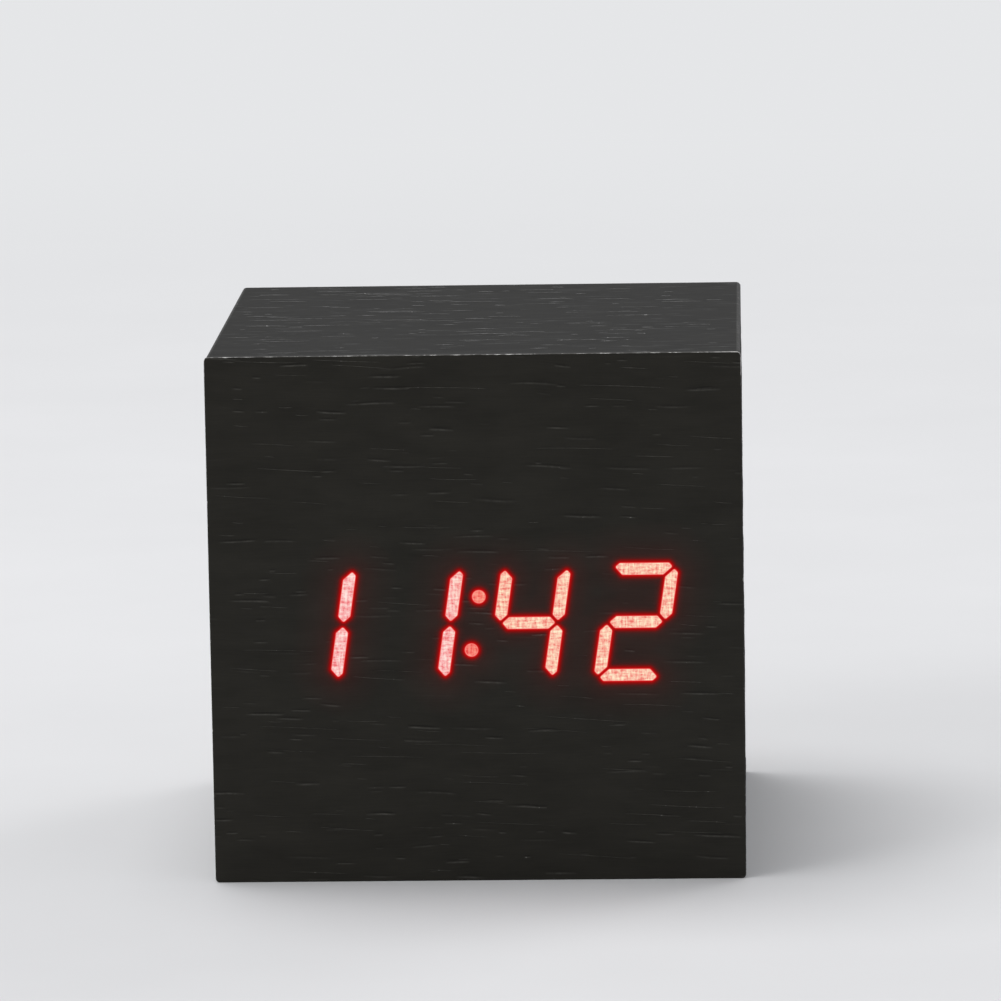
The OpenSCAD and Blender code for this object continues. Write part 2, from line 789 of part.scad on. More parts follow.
module stem(i) {
    top = back_pcb_y1 + switch_h;
    color("#3b3b3d") rod([button_at(i), button_z], stem_r, top - stem_in, top + stem_out);
}
module set_stem() { stem(0); }
module up_stem() { stem(1); }
module down_stem() { stem(2); }

module switch_bodies() {
    top = back_pcb_y1 + switch_h;
    color("#b9bcc0") for (i = [0 : buttons - 1]) difference() {
        block([button_at(i), button_z], switch_w, switch_w, back_pcb_y1, top);
        rod([button_at(i), button_z], stem_r + stem_play, top - stem_room, top + over);
    }
}

module button_board() {
    color("#1f5a36") difference() {
        block([0, button_z], 2 * back_pcb_half, back_pcb_h, back_pcb_y0, back_pcb_y1);
        for (at = post_at) rod(at, post_screw_r + hole_play, back_pcb_y0 - over, back_pcb_y1 + over);
    }
}

module button_board_screws() {
    color("silver") for (at = post_at) translate([at[0], back_pcb_y0, at[1]]) mirror([0, 1, 0])
        screw(post_head_r, post_head_h, post_screw_r, pcb_t + post_bore - over, post_slot_w);
}

module power_jack() {
    seat = panel_y0 - jack_play;
    floor_y = back_pcb_y1 + jack_floor;
    color("#18181a") difference() {
        union() {
            block([jack_x, button_z], jack_w, jack_w, back_pcb_y1, seat);
            rod([jack_x, button_z], jack_nose_r, seat - over, panel_y1);
        }
        rod([jack_x, button_z], jack_bore_r, floor_y, panel_y1 + over);
        rod([jack_x, button_z], jack_tail_r + screw_play, floor_y - jack_pin_root, panel_y1);
    }
}

module power_jack_pin() {
    floor_y = back_pcb_y1 + jack_floor;
    color("silver") union() {
        rod([jack_x, button_z], jack_pin_r, floor_y + jack_pin_lift, panel_y1 - jack_pin_short);
        rod([jack_x, button_z], jack_tail_r, floor_y - jack_pin_root, floor_y + jack_pin_lift + over);
    }
}

module microphone() {
    color("silver") rod([mic_x, mic_z], mic_r, back_pcb_y1, back_pcb_y1 + mic_h);
}

module microphone_boot() {
    color("#121213") difference() {
        rod([mic_x, mic_z], mic_r, back_pcb_y1 + mic_h, panel_y0);
        rod([mic_x, mic_z], mic_boot_r, back_pcb_y1 + mic_h - over, panel_y0 + over);
    }
}

module back_screws() {
    color("#4c4c50") at_corners(room - back_hole_in, room - back_hole_in)
        translate([0, panel_y1 - head_sink, 0])
            screw(back_head_r, back_head_h, back_screw_r, panel_t - head_sink + back_screw_bite, back_slot_w);
}

// Battery
module cell(i) {
    side = cell_side(i);
    tip = tray_half - contact_t;
    color("#c9ccd0") translate([0, cell_y, cell_z(i)]) rotate([0, side * 90, 0]) union() {
        translate([0, 0, tip - nub_h - over]) cylinder(h = nub_h + over, r = nub_r);
        translate([0, 0, tip - cell_l]) cylinder(h = cell_l - nub_h, r = cell_r);
    }
}
module cell_1() { cell(0); }
module cell_2() { cell(1); }
module cell_3() { cell(2); }

module contact_plate(side, z0, z1) {
    translate([side > 0 ? tray_half - contact_t : -tray_half, tray_y1 + divider_h + tab_play, z0])
        cube([contact_t, contact_h - divider_h, z1 - z0]);
}
module contact_tab(side, z) {
    translate([side > 0 ? tray_half - contact_t : -tray_half, tab_y, z - tab_w / 2])
        cube([contact_t, tray_y1 + contact_h / 2 - tab_y, tab_w]);
}
module positive_contact() {
    z = cell_z(cells - 1);
    color("silver") union() {
        contact_plate(1, z - contact_w / 2, z + contact_w / 2);
        contact_tab(1, z);
    }
}
module negative_contact() {
    z = cell_z(0);
    color("silver") union() {
        contact_plate(-1, z - contact_w / 2, z + contact_w / 2);
        contact_tab(-1, z);
    }
}
module link_contact_right() {
    color("silver") contact_plate(1, cell_z(0) - contact_w / 2, cell_z(1) + contact_w / 2);
}
module link_contact_left() {
    color("silver") contact_plate(-1, cell_z(1) - contact_w / 2, cell_z(2) + contact_w / 2);
}

module cell_springs() {
    ups = [for (p = spring_path) [0, p[1], p[2]]];
    color("silver") for (i = [0 : cells - 1])
        translate([0, cell_y, cell_z(i)]) rotate([0, 0, cell_side(i) > 0 ? 0 : 180])
            translate([contact_t - tray_half, 0, 0]) tube(spring_path, ups, wire_d / 2, wire_sides);
}

module lead(route) {
    points = curve(route, lead_cuts);
    tube(points, [for (p = points) [0, 0, 1]], lead_r, lead_sides);
}
module battery_lead_red() { color("#b3201c") lead(red_route); }
module battery_lead_black() { color("#1a1a1a") lead(black_route); }

case_front();
case_top();
case_bottom();
case_left();
case_right();
corner_blocks();
side_veneer();
front_veneer();
display_housing();
digit_1();
digit_2();
digit_3();
digit_4();
colon();
led_chips();
main_board();
board_spacers();
board_screws();
controller_chip();
clock_crystal();
capacitor();
buzzer();
thermistor();
coin_cell_holder();
coin_cell();
coin_cell_strap();
ribbon_header();
battery_header();
ribbon_plug();
ribbon_cable();
back_panel();
battery_tray();
battery_door();
set_button();
up_button();
down_button();
set_stem();
up_stem();
down_stem();
switch_bodies();
button_board();
button_board_screws();
power_jack();
power_jack_pin();
microphone();
microphone_boot();
back_screws();
cell_1();
cell_2();
cell_3();
positive_contact();
negative_contact();
link_contact_left();
link_contact_right();
cell_springs();
battery_lead_red();
battery_lead_black();
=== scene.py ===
import json
import random
from math import atan2, cos, pi, radians, sin, sqrt

import bmesh
import bpy
import numpy as np
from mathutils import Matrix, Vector, noise
from mathutils.geometry import delaunay_2d_cdt
from numpy.linalg import norm, solve


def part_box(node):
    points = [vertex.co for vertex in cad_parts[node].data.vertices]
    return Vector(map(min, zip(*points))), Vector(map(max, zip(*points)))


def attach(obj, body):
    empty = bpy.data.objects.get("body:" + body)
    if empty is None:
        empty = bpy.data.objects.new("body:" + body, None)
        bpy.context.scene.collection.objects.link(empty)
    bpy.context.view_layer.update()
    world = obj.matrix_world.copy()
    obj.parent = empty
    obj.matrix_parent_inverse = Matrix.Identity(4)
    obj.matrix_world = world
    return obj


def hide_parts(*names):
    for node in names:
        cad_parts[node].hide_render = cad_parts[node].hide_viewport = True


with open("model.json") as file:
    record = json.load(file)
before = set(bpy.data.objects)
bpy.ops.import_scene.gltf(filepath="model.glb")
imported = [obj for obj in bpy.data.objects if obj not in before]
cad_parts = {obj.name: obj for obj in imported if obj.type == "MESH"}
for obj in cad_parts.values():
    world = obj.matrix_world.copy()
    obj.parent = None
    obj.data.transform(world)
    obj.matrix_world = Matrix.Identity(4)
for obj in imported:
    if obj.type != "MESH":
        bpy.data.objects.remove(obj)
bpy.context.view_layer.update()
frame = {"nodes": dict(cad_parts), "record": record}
nodes = frame["nodes"]
mm = 0.001
print("clock: frame loaded with", len(nodes), "nodes")


def setAll(thing, **settings):
    for key, value in settings.items():
        setattr(thing, key, value)
    return thing


def linked(name, data):
    obj = bpy.data.objects.new(name, data)
    bpy.context.scene.collection.objects.link(obj)
    return obj


# camera
cameraView = {
    "aim": (0, 0, 31 * mm),
    "azimuth": 2.165,  # degrees to the right of straight ahead
    "elevation": 9.311,
    "roll": -0.952,
    "distance": 828.515 * mm,
    "slide": (1.726 * mm, 8.745 * mm),  # sideways and upwards in the picture
    "focalPx": 6880,
    "framePx": 1001,
    "sensor": 36,
    "clipStart": 0.01,
}


def placeCamera(view):
    a, e, r = (radians(view[k]) for k in ("azimuth", "elevation", "roll"))
    back = Vector((sin(a) * cos(e), -cos(a) * cos(e), sin(e)))
    right = Vector((0, 0, 1)).cross(back).normalized()
    up = back.cross(right)
    tiltRight = cos(r) * right + sin(r) * up
    tiltUp = cos(r) * up - sin(r) * right
    slideRight, slideUp = view["slide"]
    data = setAll(bpy.data.cameras.new("camera"), sensor_width=view["sensor"], clip_start=view["clipStart"],
                  lens=view["focalPx"] / view["framePx"] * view["sensor"])
    cam = linked("camera", data)
    place = Vector(view["aim"]) + slideRight * tiltRight + slideUp * tiltUp + view["distance"] * back
    for i in range(3):
        cam.matrix_world[i] = (tiltRight[i], tiltUp[i], back[i], place[i])
    bpy.context.scene.camera = cam


placeCamera(cameraView)
print("clock: camera placed")


# shader helpers, for the newest material
wiring = {}


def newMaterial(name):
    material = bpy.data.materials.new(name)
    material.use_nodes = True
    tree = material.node_tree
    wiring.update(material=material, tree=tree, shader=tree.nodes["Principled BSDF"])


def add(kind, inputs=None, **settings):
    node = setAll(wiring["tree"].nodes.new("ShaderNode" + kind), **settings)
    feedAll(node, inputs or {})
    return node


def feedAll(node, inputs):
    for key, value in inputs.items():
        if isinstance(value, bpy.types.NodeSocket):
            wiring["tree"].links.new(value, node.inputs[key])
        else:
            node.inputs[key].default_value = value


def calc(operation, a, b=None, c=None, clamp=False):
    inputs = {i: value for i, value in enumerate((a, b, c)) if value is not None}
    return add("Math", inputs, operation=operation, use_clamp=clamp).outputs[0]


def times(a, b, clamp=False):
    return calc("MULTIPLY", a, b, clamp=clamp)


def vector(operation, a, b):
    return add("VectorMath", {0: a, 1: b}, operation=operation).outputs[0]


def remap(value, low, high, toLow=0.0, toHigh=1.0, kind="LINEAR"):
    inputs = {"Value": value, "From Min": low, "From Max": high, "To Min": toLow, "To Max": toHigh}
    return add("MapRange", inputs, interpolation_type=kind).outputs["Result"]


def mixColour(factor, a, b, how="MIX"):
    inputs = {"Factor": factor, "A": rgba(a), "B": rgba(b)}
    return add("Mix", inputs, data_type="RGBA", blend_type=how).outputs["Result"]


def tinted(colour, tone):
    return mixColour(1.0, colour, tone, "MULTIPLY")


def rgba(colour):
    if isinstance(colour, bpy.types.NodeSocket):
        return colour
    return tuple(colour) + (1.0,)


def ramp(factor, stops):
    node = add("ValToRGB", {"Fac": factor})
    elements = node.color_ramp.elements
    while len(elements) > 1:
        elements.remove(elements[-1])
    for i, (place, colour) in enumerate(stops):
        element = elements[0] if i == 0 else elements.new(place)
        element.position = place
        element.color = rgba(colour)
    return node.outputs["Color"]


def inMm():
    place = add("TexCoord").outputs["Object"]
    return vector("MULTIPLY", place, (1 / mm,) * 3)


def painted(name, output="Fac"):
    # values written on the points of the mesh
    return add("Attribute", attribute_name=name).outputs[output]


def noiseAt(at, scale, detail=3.0, roughness=0.55):
    inputs = {"Vector": at, "Scale": scale, "Detail": detail, "Roughness": roughness}
    return add("TexNoise", inputs).outputs["Fac"]


def stretched(at, stretch, detail=3.0, roughness=0.55, scale=1.0):
    return noiseAt(vector("MULTIPLY", at, stretch), scale, detail, roughness)


usualNoise = (0.3, 0.7)  # most of a noise lies between these


def sway(value, middle, reach):
    return remap(value, *usualNoise, middle - reach, middle + reach)


def surface(colour, roughness, height, depthMm, strength, specular=0.5, metallic=0.0):
    relief = {"Height": height, "Strength": strength, "Distance": depthMm * mm}
    feedAll(wiring["shader"], {
        "Base Color": colour,
        "Roughness": roughness,
        "Normal": add("Bump", relief).outputs["Normal"],
        "Specular IOR Level": specular,
        "Metallic": metallic})
    return wiring["material"]


# wood-grain film
frontGrain = {
    "colour": (0.0243, 0.0228, 0.0188),
    # mm of a cell along and across the grain, lengths and thickness, share of cells, shift, strength
    "pores": [((7.4, 1.9), (1.8, 6.5), 0.19, 0.42, (3.1, 2.17), 0.50),
              ((3.8, 1.5), (0.8, 2.6), 0.16, 0.26, (17.7, 12.39), 0.42)],
    "slope": 0.03,  # fall of the pores to the right
    "waver": 1.1,
    "mottle": 0.14,
    # pale colour of the lips: the grain's pale lines with a painted highlight
    "lip": (0.115, 0.111, 0.099),
    "bead": (0.23, 0.223, 0.21),
    # bright chips on the edges, with painted glints
    "chippedAndGlint": (0.62, 0.61, 0.59),
    "lipGloss": 0.15,  # how much smoother the lips are than the film
    # painted shadow: how much the colour darkens in the groove above each lip
    "grooveAndShade": 0.85,
}
# film of the four sides: its lips and bright spots are paler than the front's, a painted sheen of the top
wrapGrain = {
    "colour": (0.0246, 0.0240, 0.0226),
    "pores": [((6.8, 1.9), (1.8, 7.0), 0.21, 0.5, (5.3, 3.71), 0.45),
              ((3.4, 1.4), (0.8, 2.8), 0.17, 0.32, (23.9, 16.73), 0.40)],
    "slope": 0.0,
    "waver": 1.3,
    "mottle": 0.12,
    "lip": (0.19, 0.189, 0.187),
    "bead": (0.45, 0.447, 0.44),
    # bright chips on the edges, with painted glints
    "chippedAndGlint": (0.30, 0.297, 0.29),
    "lipGloss": 0.3,
    # painted shadow: how much the colour darkens in the groove above each lip
    "grooveAndShade": 0.7,
}
poreLook = {
    "scatter": 0.95,  # how far the pores stray from rows
    "lean": 0.025,
    "fade": 0.8,
    "lines": [(0.0, 0.5), (1.05, 0.7)],  # place and half width of the lip and the groove, in thicknesses
}
filmLook = {
    "specular": 0.1,
    # colour of the lightened edges: wear with a painted highlight
    "wornAndHighlight": (0.30, 0.298, 0.29),
    # noises: turns per mm along and across the grain, detail, roughness
    "drift": ((0.05, 0.09, 1), 2.0),
    "fibre": ((0.22, 6.0, 1), 4.0, 0.6),
    "mottle": ((0.10, 0.30, 1), 3.0),
    "patches": ((0.9, 1.6, 1), 3.0, 0.6),
    "beads": ((2.2, 2.6, 1), 1.0),
    "chipsAndGlints": ((0.75, 1.3, 1), 5.0, 0.7),
    # from which values they count, and what those turn to
    "patchShare": (0.32, 0.66, 0.35, 1.3),  # of the lips
    "fibreTone": (0.25, 0.75, -0.09, 0.09),
    "fibreRough": (0.2, 0.8, 0.66, 0.54),
    "beadFrom": (0.69, 0.75),
    "beadOnLip": (0.12, 0.4),
    "chipAndGlintFrom": (1.0, 1.35),
    "chipOnWearAndLight": (0.02, 0.1),
    "fibreHeight": 0.25,  # beside the lips' 1
    "relief": (0.03, 0.5),  # mm and strength
}


def poreStreaks(at, slope, cell, length, thick, share, shift):
    # one short line in each stretched cell: a pale lip, partly a painted highlight, with a groove above it
    # that is painted as shadow
    cellLong, cellHigh = cell
    shortest, longest = length
    spot = vector("MULTIPLY", at, (1 / cellLong, 1 / cellHigh, 1))
    spot = vector("ADD", spot, (*shift, 0))
    cells = add("TexVoronoi", {"Vector": spot, "Scale": 1.0, "Randomness": poreLook["scatter"]},
                voronoi_dimensions="2D")
    away = vector("SUBTRACT", spot, cells.outputs["Position"])
    away = vector("MULTIPLY", away, (cellLong, cellHigh, 0))
    away = add("SeparateXYZ", {"Vector": away}).outputs
    chance = add("SeparateColor", {"Color": cells.outputs["Color"]}).outputs
    lean = remap(chance["Red"], 0, 1, slope - poreLook["lean"], slope + poreLook["lean"])
    across = calc("MULTIPLY_ADD", away["X"], lean, away["Y"])
    half = remap(chance["Green"], 0, 1, shortest / 2, longest / 2)
    along = calc("DIVIDE", away["X"], half)
    along = calc("SUBTRACT", 1.0, times(along, along), clamp=True)
    shown = remap(chance["Blue"], 1 - share, 1)
    shown = times(calc("POWER", shown, poreLook["fade"]), along)
    lines = []
    for offset, wide in poreLook["lines"]:
        d = calc("SUBTRACT", across, offset * thick)
        d = calc("DIVIDE", d, wide * thick)
        d = calc("EXPONENT", times(times(d, d), -1.0))
        lines.append(times(d, shown))
    return lines


def grainFilm(name, look, lit=False):
    newMaterial(name)
    at, wearAndHighlight = painted("grainAt", "Vector"), painted("edgeWear")
    drift = stretched(at, *filmLook["drift"])
    drift = calc("MULTIPLY_ADD", drift, 2 * look["waver"], -look["waver"])
    at = vector("ADD", at, add("CombineXYZ", {"Y": drift}).outputs["Vector"])
    lip, grooveAndShade = 0.0, 0.0
    for *pore, strength in look["pores"]:
        light, dark = poreStreaks(at, look["slope"], *pore)
        lip = calc("MULTIPLY_ADD", light, strength, lip)
        grooveAndShade = calc("MULTIPLY_ADD", dark, strength, grooveAndShade)
    # lips of the mesh, with their painted light
    lip = calc("MAXIMUM", lip, painted("lipAt"))
    patches = remap(stretched(at, *filmLook["patches"]), *filmLook["patchShare"])
    lip = times(lip, patches, clamp=True)
    fibre = stretched(at, *filmLook["fibre"])
    mottle = sway(stretched(at, *filmLook["mottle"]), 1.0, look["mottle"])
    tone = calc("ADD", remap(fibre, *filmLook["fibreTone"]), mottle)
    # painted shadow: the colour darkens in the grooves
    tone = times(tone, calc("MULTIPLY_ADD", grooveAndShade, -look["grooveAndShade"], 1.0, clamp=True))
    # the lips' pale colour, partly a painted highlight
    colour = mixColour(lip, tinted(look["colour"], tone), look["lip"])
    # bright spots on the lips
    bead = remap(stretched(at, *filmLook["beads"]), *filmLook["beadFrom"])
    bead = times(bead, remap(lip, *filmLook["beadOnLip"]))
    colour = mixColour(bead, colour, look["bead"])
    # lighter edges, partly worn and partly a painted highlight, with chips and painted glints where that is
    # strongest
    chipAndGlint = remap(stretched(at, *filmLook["chipsAndGlints"]), *usualNoise)
    chipAndGlint = remap(calc("ADD", chipAndGlint, wearAndHighlight), *filmLook["chipAndGlintFrom"])
    chipAndGlint = times(chipAndGlint, remap(wearAndHighlight, *filmLook["chipOnWearAndLight"]))
    colour = mixColour(times(wearAndHighlight, wearAndHighlight, clamp=True), colour, filmLook["wornAndHighlight"])
    colour = mixColour(chipAndGlint, colour, look["chippedAndGlint"])
    if lit:
        colour = litStrokes(at, colour)
    rough = calc("MULTIPLY_ADD", lip, -look["lipGloss"], remap(fibre, *filmLook["fibreRough"]))
    height = calc("SUBTRACT", calc("MULTIPLY_ADD", fibre, filmLook["fibreHeight"], lip), grooveAndShade)
    return surface(colour, rough, height, *filmLook["relief"], specular=filmLook["specular"])


# light through the film, by the mm from the edge of a lit stroke, below zero inside
glowLook = {
    "range": (-0.3, 5.0),
    "light": [
        (-0.08, (0.955, 0.480, 0.410)), (-0.035, (0.92, 0.150, 0.140)), (0.015, (0.72, 0.012, 0.012)),
    ],
    "red": [(0.06, 0.58), (0.12, 0.43), (0.20, 0.295), (0.30, 0.194), (0.40, 0.120), (0.50, 0.069),
            (0.60, 0.042), (0.80, 0.0225), (1.15, 0.0125), (1.70, 0.0095), (2.25, 0.0060), (3.00, 0.0034),
            (5.00, 0.0)],
    # painted shade: the film's own colour darkened round the lit strokes
    "film": [(0.0, 0.0), (0.20, 0.0), (0.30, 0.1), (0.40, 0.33), (0.50, 0.56), (0.60, 0.72), (0.80, 0.86),
             (1.15, 0.92), (2.25, 0.98), (3.0, 1.0)],
    # threads of the film in front of the light: share, turns per mm, detail, roughness
    "threads": [(0.38, (0.7, 3.4, 1), 2.0, 0.6), (0.38, (3.4, 0.6, 1), 2.0, 0.6),
                (0.24, (3.6, 3.6, 1), 2.0, 0.7)],
    "threadRange": (0.40, 0.60),
    # their weave, from the darkest threads to the thinnest spots
    "weave": [(0.0, (0.84, 0.19, 0.155)), (0.22, (0.93, 0.35, 0.27)), (0.5, (0.955, 0.53, 0.40)),
              (0.78, (0.99, 0.71, 0.50)), (1.0, (1.0, 0.86, 0.62))],
    "coolTint": (1.0, 0.92, 1.20),  # of the left pair of digits
    "coolFrom": (2.0, -4.0),
    "dotTint": (0.98, 0.45, 0.42),
    "coreFrom": (-0.03, -0.10),
}


def litStrokes(at, colour):
    distance, onDot = painted("glowAt"), painted("glowDim")
    low, high = glowLook["range"]
    place = remap(distance, low, high)
    glow = glowLook["light"] + [(d, (red, 0.0, 0.0)) for d, red in glowLook["red"]]
    film = [(d, (v, v, v)) for d, v in glowLook["film"]]
    light, shade = (ramp(place, [((d - low) / (high - low), c) for d, c in stops]) for stops in (glow, film))
    threads = 0.0
    for share, *noiseLook in glowLook["threads"]:
        threads = calc("MULTIPLY_ADD", stretched(at, *noiseLook), share, threads)
    weave = ramp(remap(threads, *glowLook["threadRange"]), glowLook["weave"])
    across = add("SeparateXYZ", {"Vector": at}).outputs["X"]
    onLeft = remap(across, *glowLook["coolFrom"])
    weave = mixColour(onLeft, weave, tinted(weave, glowLook["coolTint"]))
    weave = mixColour(onDot, weave, tinted(weave, glowLook["dotTint"]))
    core = remap(distance, *glowLook["coreFrom"])
    feedAll(wiring["shader"], {"Emission Color": mixColour(core, light, weave), "Emission Strength": 1.0})
    # the film's colour, painted darker round the lit strokes
    return tinted(colour, shade)


# finishes of the pieces that stay as CAD solids
def mouldedPlastic(name, colour, roughness, sparkMm, depthMm):
    newMaterial(name)
    at = inMm()
    spark, cloud = noiseAt(at, 1 / sparkMm, 3.0, 0.6), noiseAt(at, 0.12)
    tone = calc("ADD", sway(spark, 0.0, 0.16), sway(cloud, 1.0, 0.07))
    rough = calc("ADD", sway(cloud, 0.0, 0.04), sway(spark, 0.0, -0.08))
    return surface(tinted(colour, tone), calc("ADD", rough, roughness), spark, depthMm, 0.8)


def platedMetal(name, colour, roughness, drawn=(1.0, 1.0, 1.0)):
    newMaterial(name)
    at = inMm()
    scratch = stretched(at, drawn, 4.0, 0.65, 2.2)
    rough = remap(scratch, 0.25, 0.75, roughness - 0.08, roughness + 0.1)
    bloom = sway(noiseAt(at, 0.35), 0.97, 0.09)
    return surface(tinted(colour, bloom), rough, scratch, 0.01, 0.4, metallic=1.0)


def fibreBoard(name):
    newMaterial(name)
    at = inMm()
    felt = None
    for turn in (10, 70, 130):  # fibres pressed together at every angle
        inputs = {"Vector": at, "Axis": (0, 1, 0), "Angle": radians(turn)}
        fibre = stretched(add("VectorRotate", inputs).outputs[0], (1.3, 2.0, 5.0), 4.0, 0.6)
        felt = fibre if felt is None else calc("MAXIMUM", felt, fibre)
    grain = calc("MULTIPLY_ADD", noiseAt(at, 6.0, 3.0, 0.6), 0.35, times(felt, 0.65))
    colour = ramp(grain, [(0.40, (0.095, 0.060, 0.035)), (0.56, (0.175, 0.117, 0.073)),
                          (0.70, (0.28, 0.20, 0.135))])
    clump = sway(noiseAt(at, 0.35, 4.0), 0.98, 0.12)
    return surface(tinted(colour, clump), 0.9, grain, 0.1, 0.7, specular=0.2)


def softWood(name):
    newMaterial(name)
    at = vector("MULTIPLY", inMm(), (1.0, 0.06, 1.0))
    rings = {"Vector": at, "Scale": 0.35, "Distortion": 3.0, "Detail": 3.0}
    ring = add("TexWave", rings).outputs["Fac"]
    fibre = noiseAt(at, 4.0, 4.0, 0.6)
    grain = calc("ADD", times(ring, 0.7), times(fibre, 0.3))
    colour = ramp(grain, [(0.2, (0.34, 0.21, 0.10)), (0.8, (0.52, 0.36, 0.20))])
    return surface(colour, 0.75, fibre, 0.05, 0.5)


def solderMask(name):
    newMaterial(name)
    at = inMm()
    bricks = {"Vector": vector("MULTIPLY", at, (0.4, 0.4, 0.4)), "Scale": 1.0, "Mortar Size": 0.06,
              "Brick Width": 2.4, "Row Height": 0.5}
    track = add("TexBrick", bricks).outputs["Fac"]
    colour = mixColour(track, (0.012, 0.105, 0.045), (0.03, 0.19, 0.085))
    glass = sway(noiseAt(at, 2.5), 1.0, 0.1)
    return surface(tinted(colour, glass), 0.35, track, 0.03, 0.5)


def diffuserRed(name):
    newMaterial(name)
    haze = noiseAt(inMm(), 1.5)
    colour = ramp(haze, [(0.3, (0.75, 0.30, 0.26)), (0.7, (0.9, 0.42, 0.36))])
    return surface(colour, 0.4, haze, 0.02, 0.4)


# plastics: name, colour, roughness, size and depth of the moulded grain in mm
plastics = {
    "display_plastic": ("displayPlastic", (0.03, 0.03, 0.032), 0.55, 0.25, 0.01),
    "led_chip": ("ledChip", (0.86, 0.74, 0.42), 0.25, 0.1, 0.004),
    "ivory_plastic": ("ivoryNylon", (0.72, 0.68, 0.58), 0.45, 0.3, 0.01),
    "chip_epoxy": ("chipEpoxy", (0.018, 0.018, 0.019), 0.6, 0.15, 0.01),
    "capacitor_sleeve": ("capacitorSleeve", (0.03, 0.035, 0.16), 0.3, 0.5, 0.006),
    "thermistor_epoxy": ("thermistorEpoxy", (0.05, 0.028, 0.014), 0.3, 0.4, 0.01),
    "ribbon_sleeve": ("ribbonSleeve", (0.3, 0.31, 0.33), 0.5, 0.4, 0.01),
    "back_plastic": ("sparkPlastic", (0.0185, 0.0185, 0.0195), 0.48, 0.3, 0.14),
    "button_plastic": ("buttonPlastic", (0.032, 0.032, 0.034), 0.36, 0.26, 0.03),
    "jack_plastic": ("jackPlastic", (0.015, 0.015, 0.016), 0.5, 0.2, 0.01),
    "boot_rubber": ("bootRubber", (0.012, 0.012, 0.012), 0.8, 0.3, 0.02),
    "cell_sleeve": ("cellSleeve", (0.10, 0.11, 0.12), 0.3, 0.6, 0.004),
    "red_wire": ("redWire", (0.42, 0.015, 0.012), 0.42, 0.3, 0.01),
    "black_wire": ("blackWire", (0.015, 0.015, 0.015), 0.45, 0.3, 0.01),
}
finishes = {
    "fibreboard": fibreBoard("fibreboard"),
    "pine": softWood("pine"),
    "diffuser": diffuserRed("diffuser"),
    "circuit_board": solderMask("circuitBoard"),
    "zinc_steel": platedMetal("zincSteel", (0.60, 0.61, 0.62), 0.34),
    "dark_steel": platedMetal("blackenedSteel", (0.055, 0.055, 0.06), 0.42),
    "nickel": platedMetal("nickelPlate", (0.66, 0.63, 0.57), 0.24, (1.0, 0.15, 1.0)),
    "grain_film": grainFilm("grainFilm", wrapGrain),
}
for slot, look in plastics.items():
    finishes[slot] = mouldedPlastic(*look)
for entry in frame["record"]["subparts"]:
    data = nodes[entry["node"]].data
    data.materials.clear()
    data.materials.append(finishes[entry["material_slot"]])
print("clock:", len(finishes), "finishes on the CAD pieces")


# mesh helpers
weldMm = 0.002  # points closer than this are one


def newObject(name, points, faces, material):
    mesh = bpy.data.meshes.new(name)
    mesh.from_pydata([tuple(c * mm for c in p) for p in points], [], faces)
    mesh.materials.append(material)
    mesh.validate()
    mesh.shade_smooth()
    return linked(name, mesh)


def dress(obj, body, slot, *stands):
    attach(obj, body)
    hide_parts(*stands)


def writeValues(obj, **layers):
    for name, values in layers.items():
        values = np.asarray(values, np.float32)
        kind, field = ("FLOAT_VECTOR", "vector") if values.ndim == 2 else ("FLOAT", "value")
        obj.data.attributes.new(name, kind, "POINT").data.foreach_set(field, values.ravel())


def spotsMm(obj):
    return np.array([v.co for v in obj.data.vertices]) / mm


def boxMm(node):
    low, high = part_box(node)
    return low / mm, high / mm


def lathe(name, profile, steps, place, material):
    # profile: distance along the axis and radius, from one end's middle to the other's
    points, faces, rows = [], [], []
    for along, radius in profile:
        if radius == 0:
            rows.append([len(points)])
            points.append(place(along, 0.0, 0.0))
            continue
        rows.append(list(range(len(points), len(points) + steps)))
        for k in range(steps):
            a = 2 * pi * k / steps
            points.append(place(along, radius * cos(a), radius * sin(a)))
    for row, after in zip(rows, rows[1:]):
        for k in range(steps):
            j = (k + 1) % steps
            if len(row) == 1:
                faces.append((row[0], after[j], after[k]))
            elif len(after) == 1:
                faces.append((row[k], row[j], after[0]))
            else:
                faces.append((row[k], row[j], after[j], after[k]))
    obj = newObject(name, points, faces, material)
    cleanUp(obj, weldMm)
    return obj


def quadsBetween(first, bands, around):
    # faces between closed rings of points that follow each other
    quads = []
    for a in range(first, first + bands * around, around):
        for k in range(around):
            j = (k + 1) % around
            quads.append((a + k, a + j, a + around + j, a + around + k))
    return quads


def tubeAlong(path, radius, sides, points, faces):
    # round wire with closed ends, added to points and faces
    first = len(points)
    turn = (path[1] - path[0]).normalized().orthogonal()
    for i, p in enumerate(path):
        ahead = (path[min(i + 1, len(path) - 1)] - path[max(i - 1, 0)]).normalized()
        turn = (turn - turn.dot(ahead) * ahead).normalized()
        other = ahead.cross(turn)
        for k in range(sides):
            a = 2 * pi * k / sides
            points.append(tuple(p + radius * (cos(a) * turn + sin(a) * other)))
    faces += quadsBetween(first, len(path) - 1, sides)
    faces.append(tuple(first + k for k in reversed(range(sides))))
    faces.append(tuple(first + (len(path) - 1) * sides + k for k in range(sides)))


def cleanUp(obj, joinMm=0.0):
    # near points joined, faces turned outwards
    shape = bmesh.new()
    shape.from_mesh(obj.data)
    if joinMm:
        bmesh.ops.remove_doubles(shape, verts=shape.verts, dist=joinMm * mm)
    bmesh.ops.recalc_face_normals(shape, faces=shape.faces)
    shape.to_mesh(obj.data)
    shape.free()


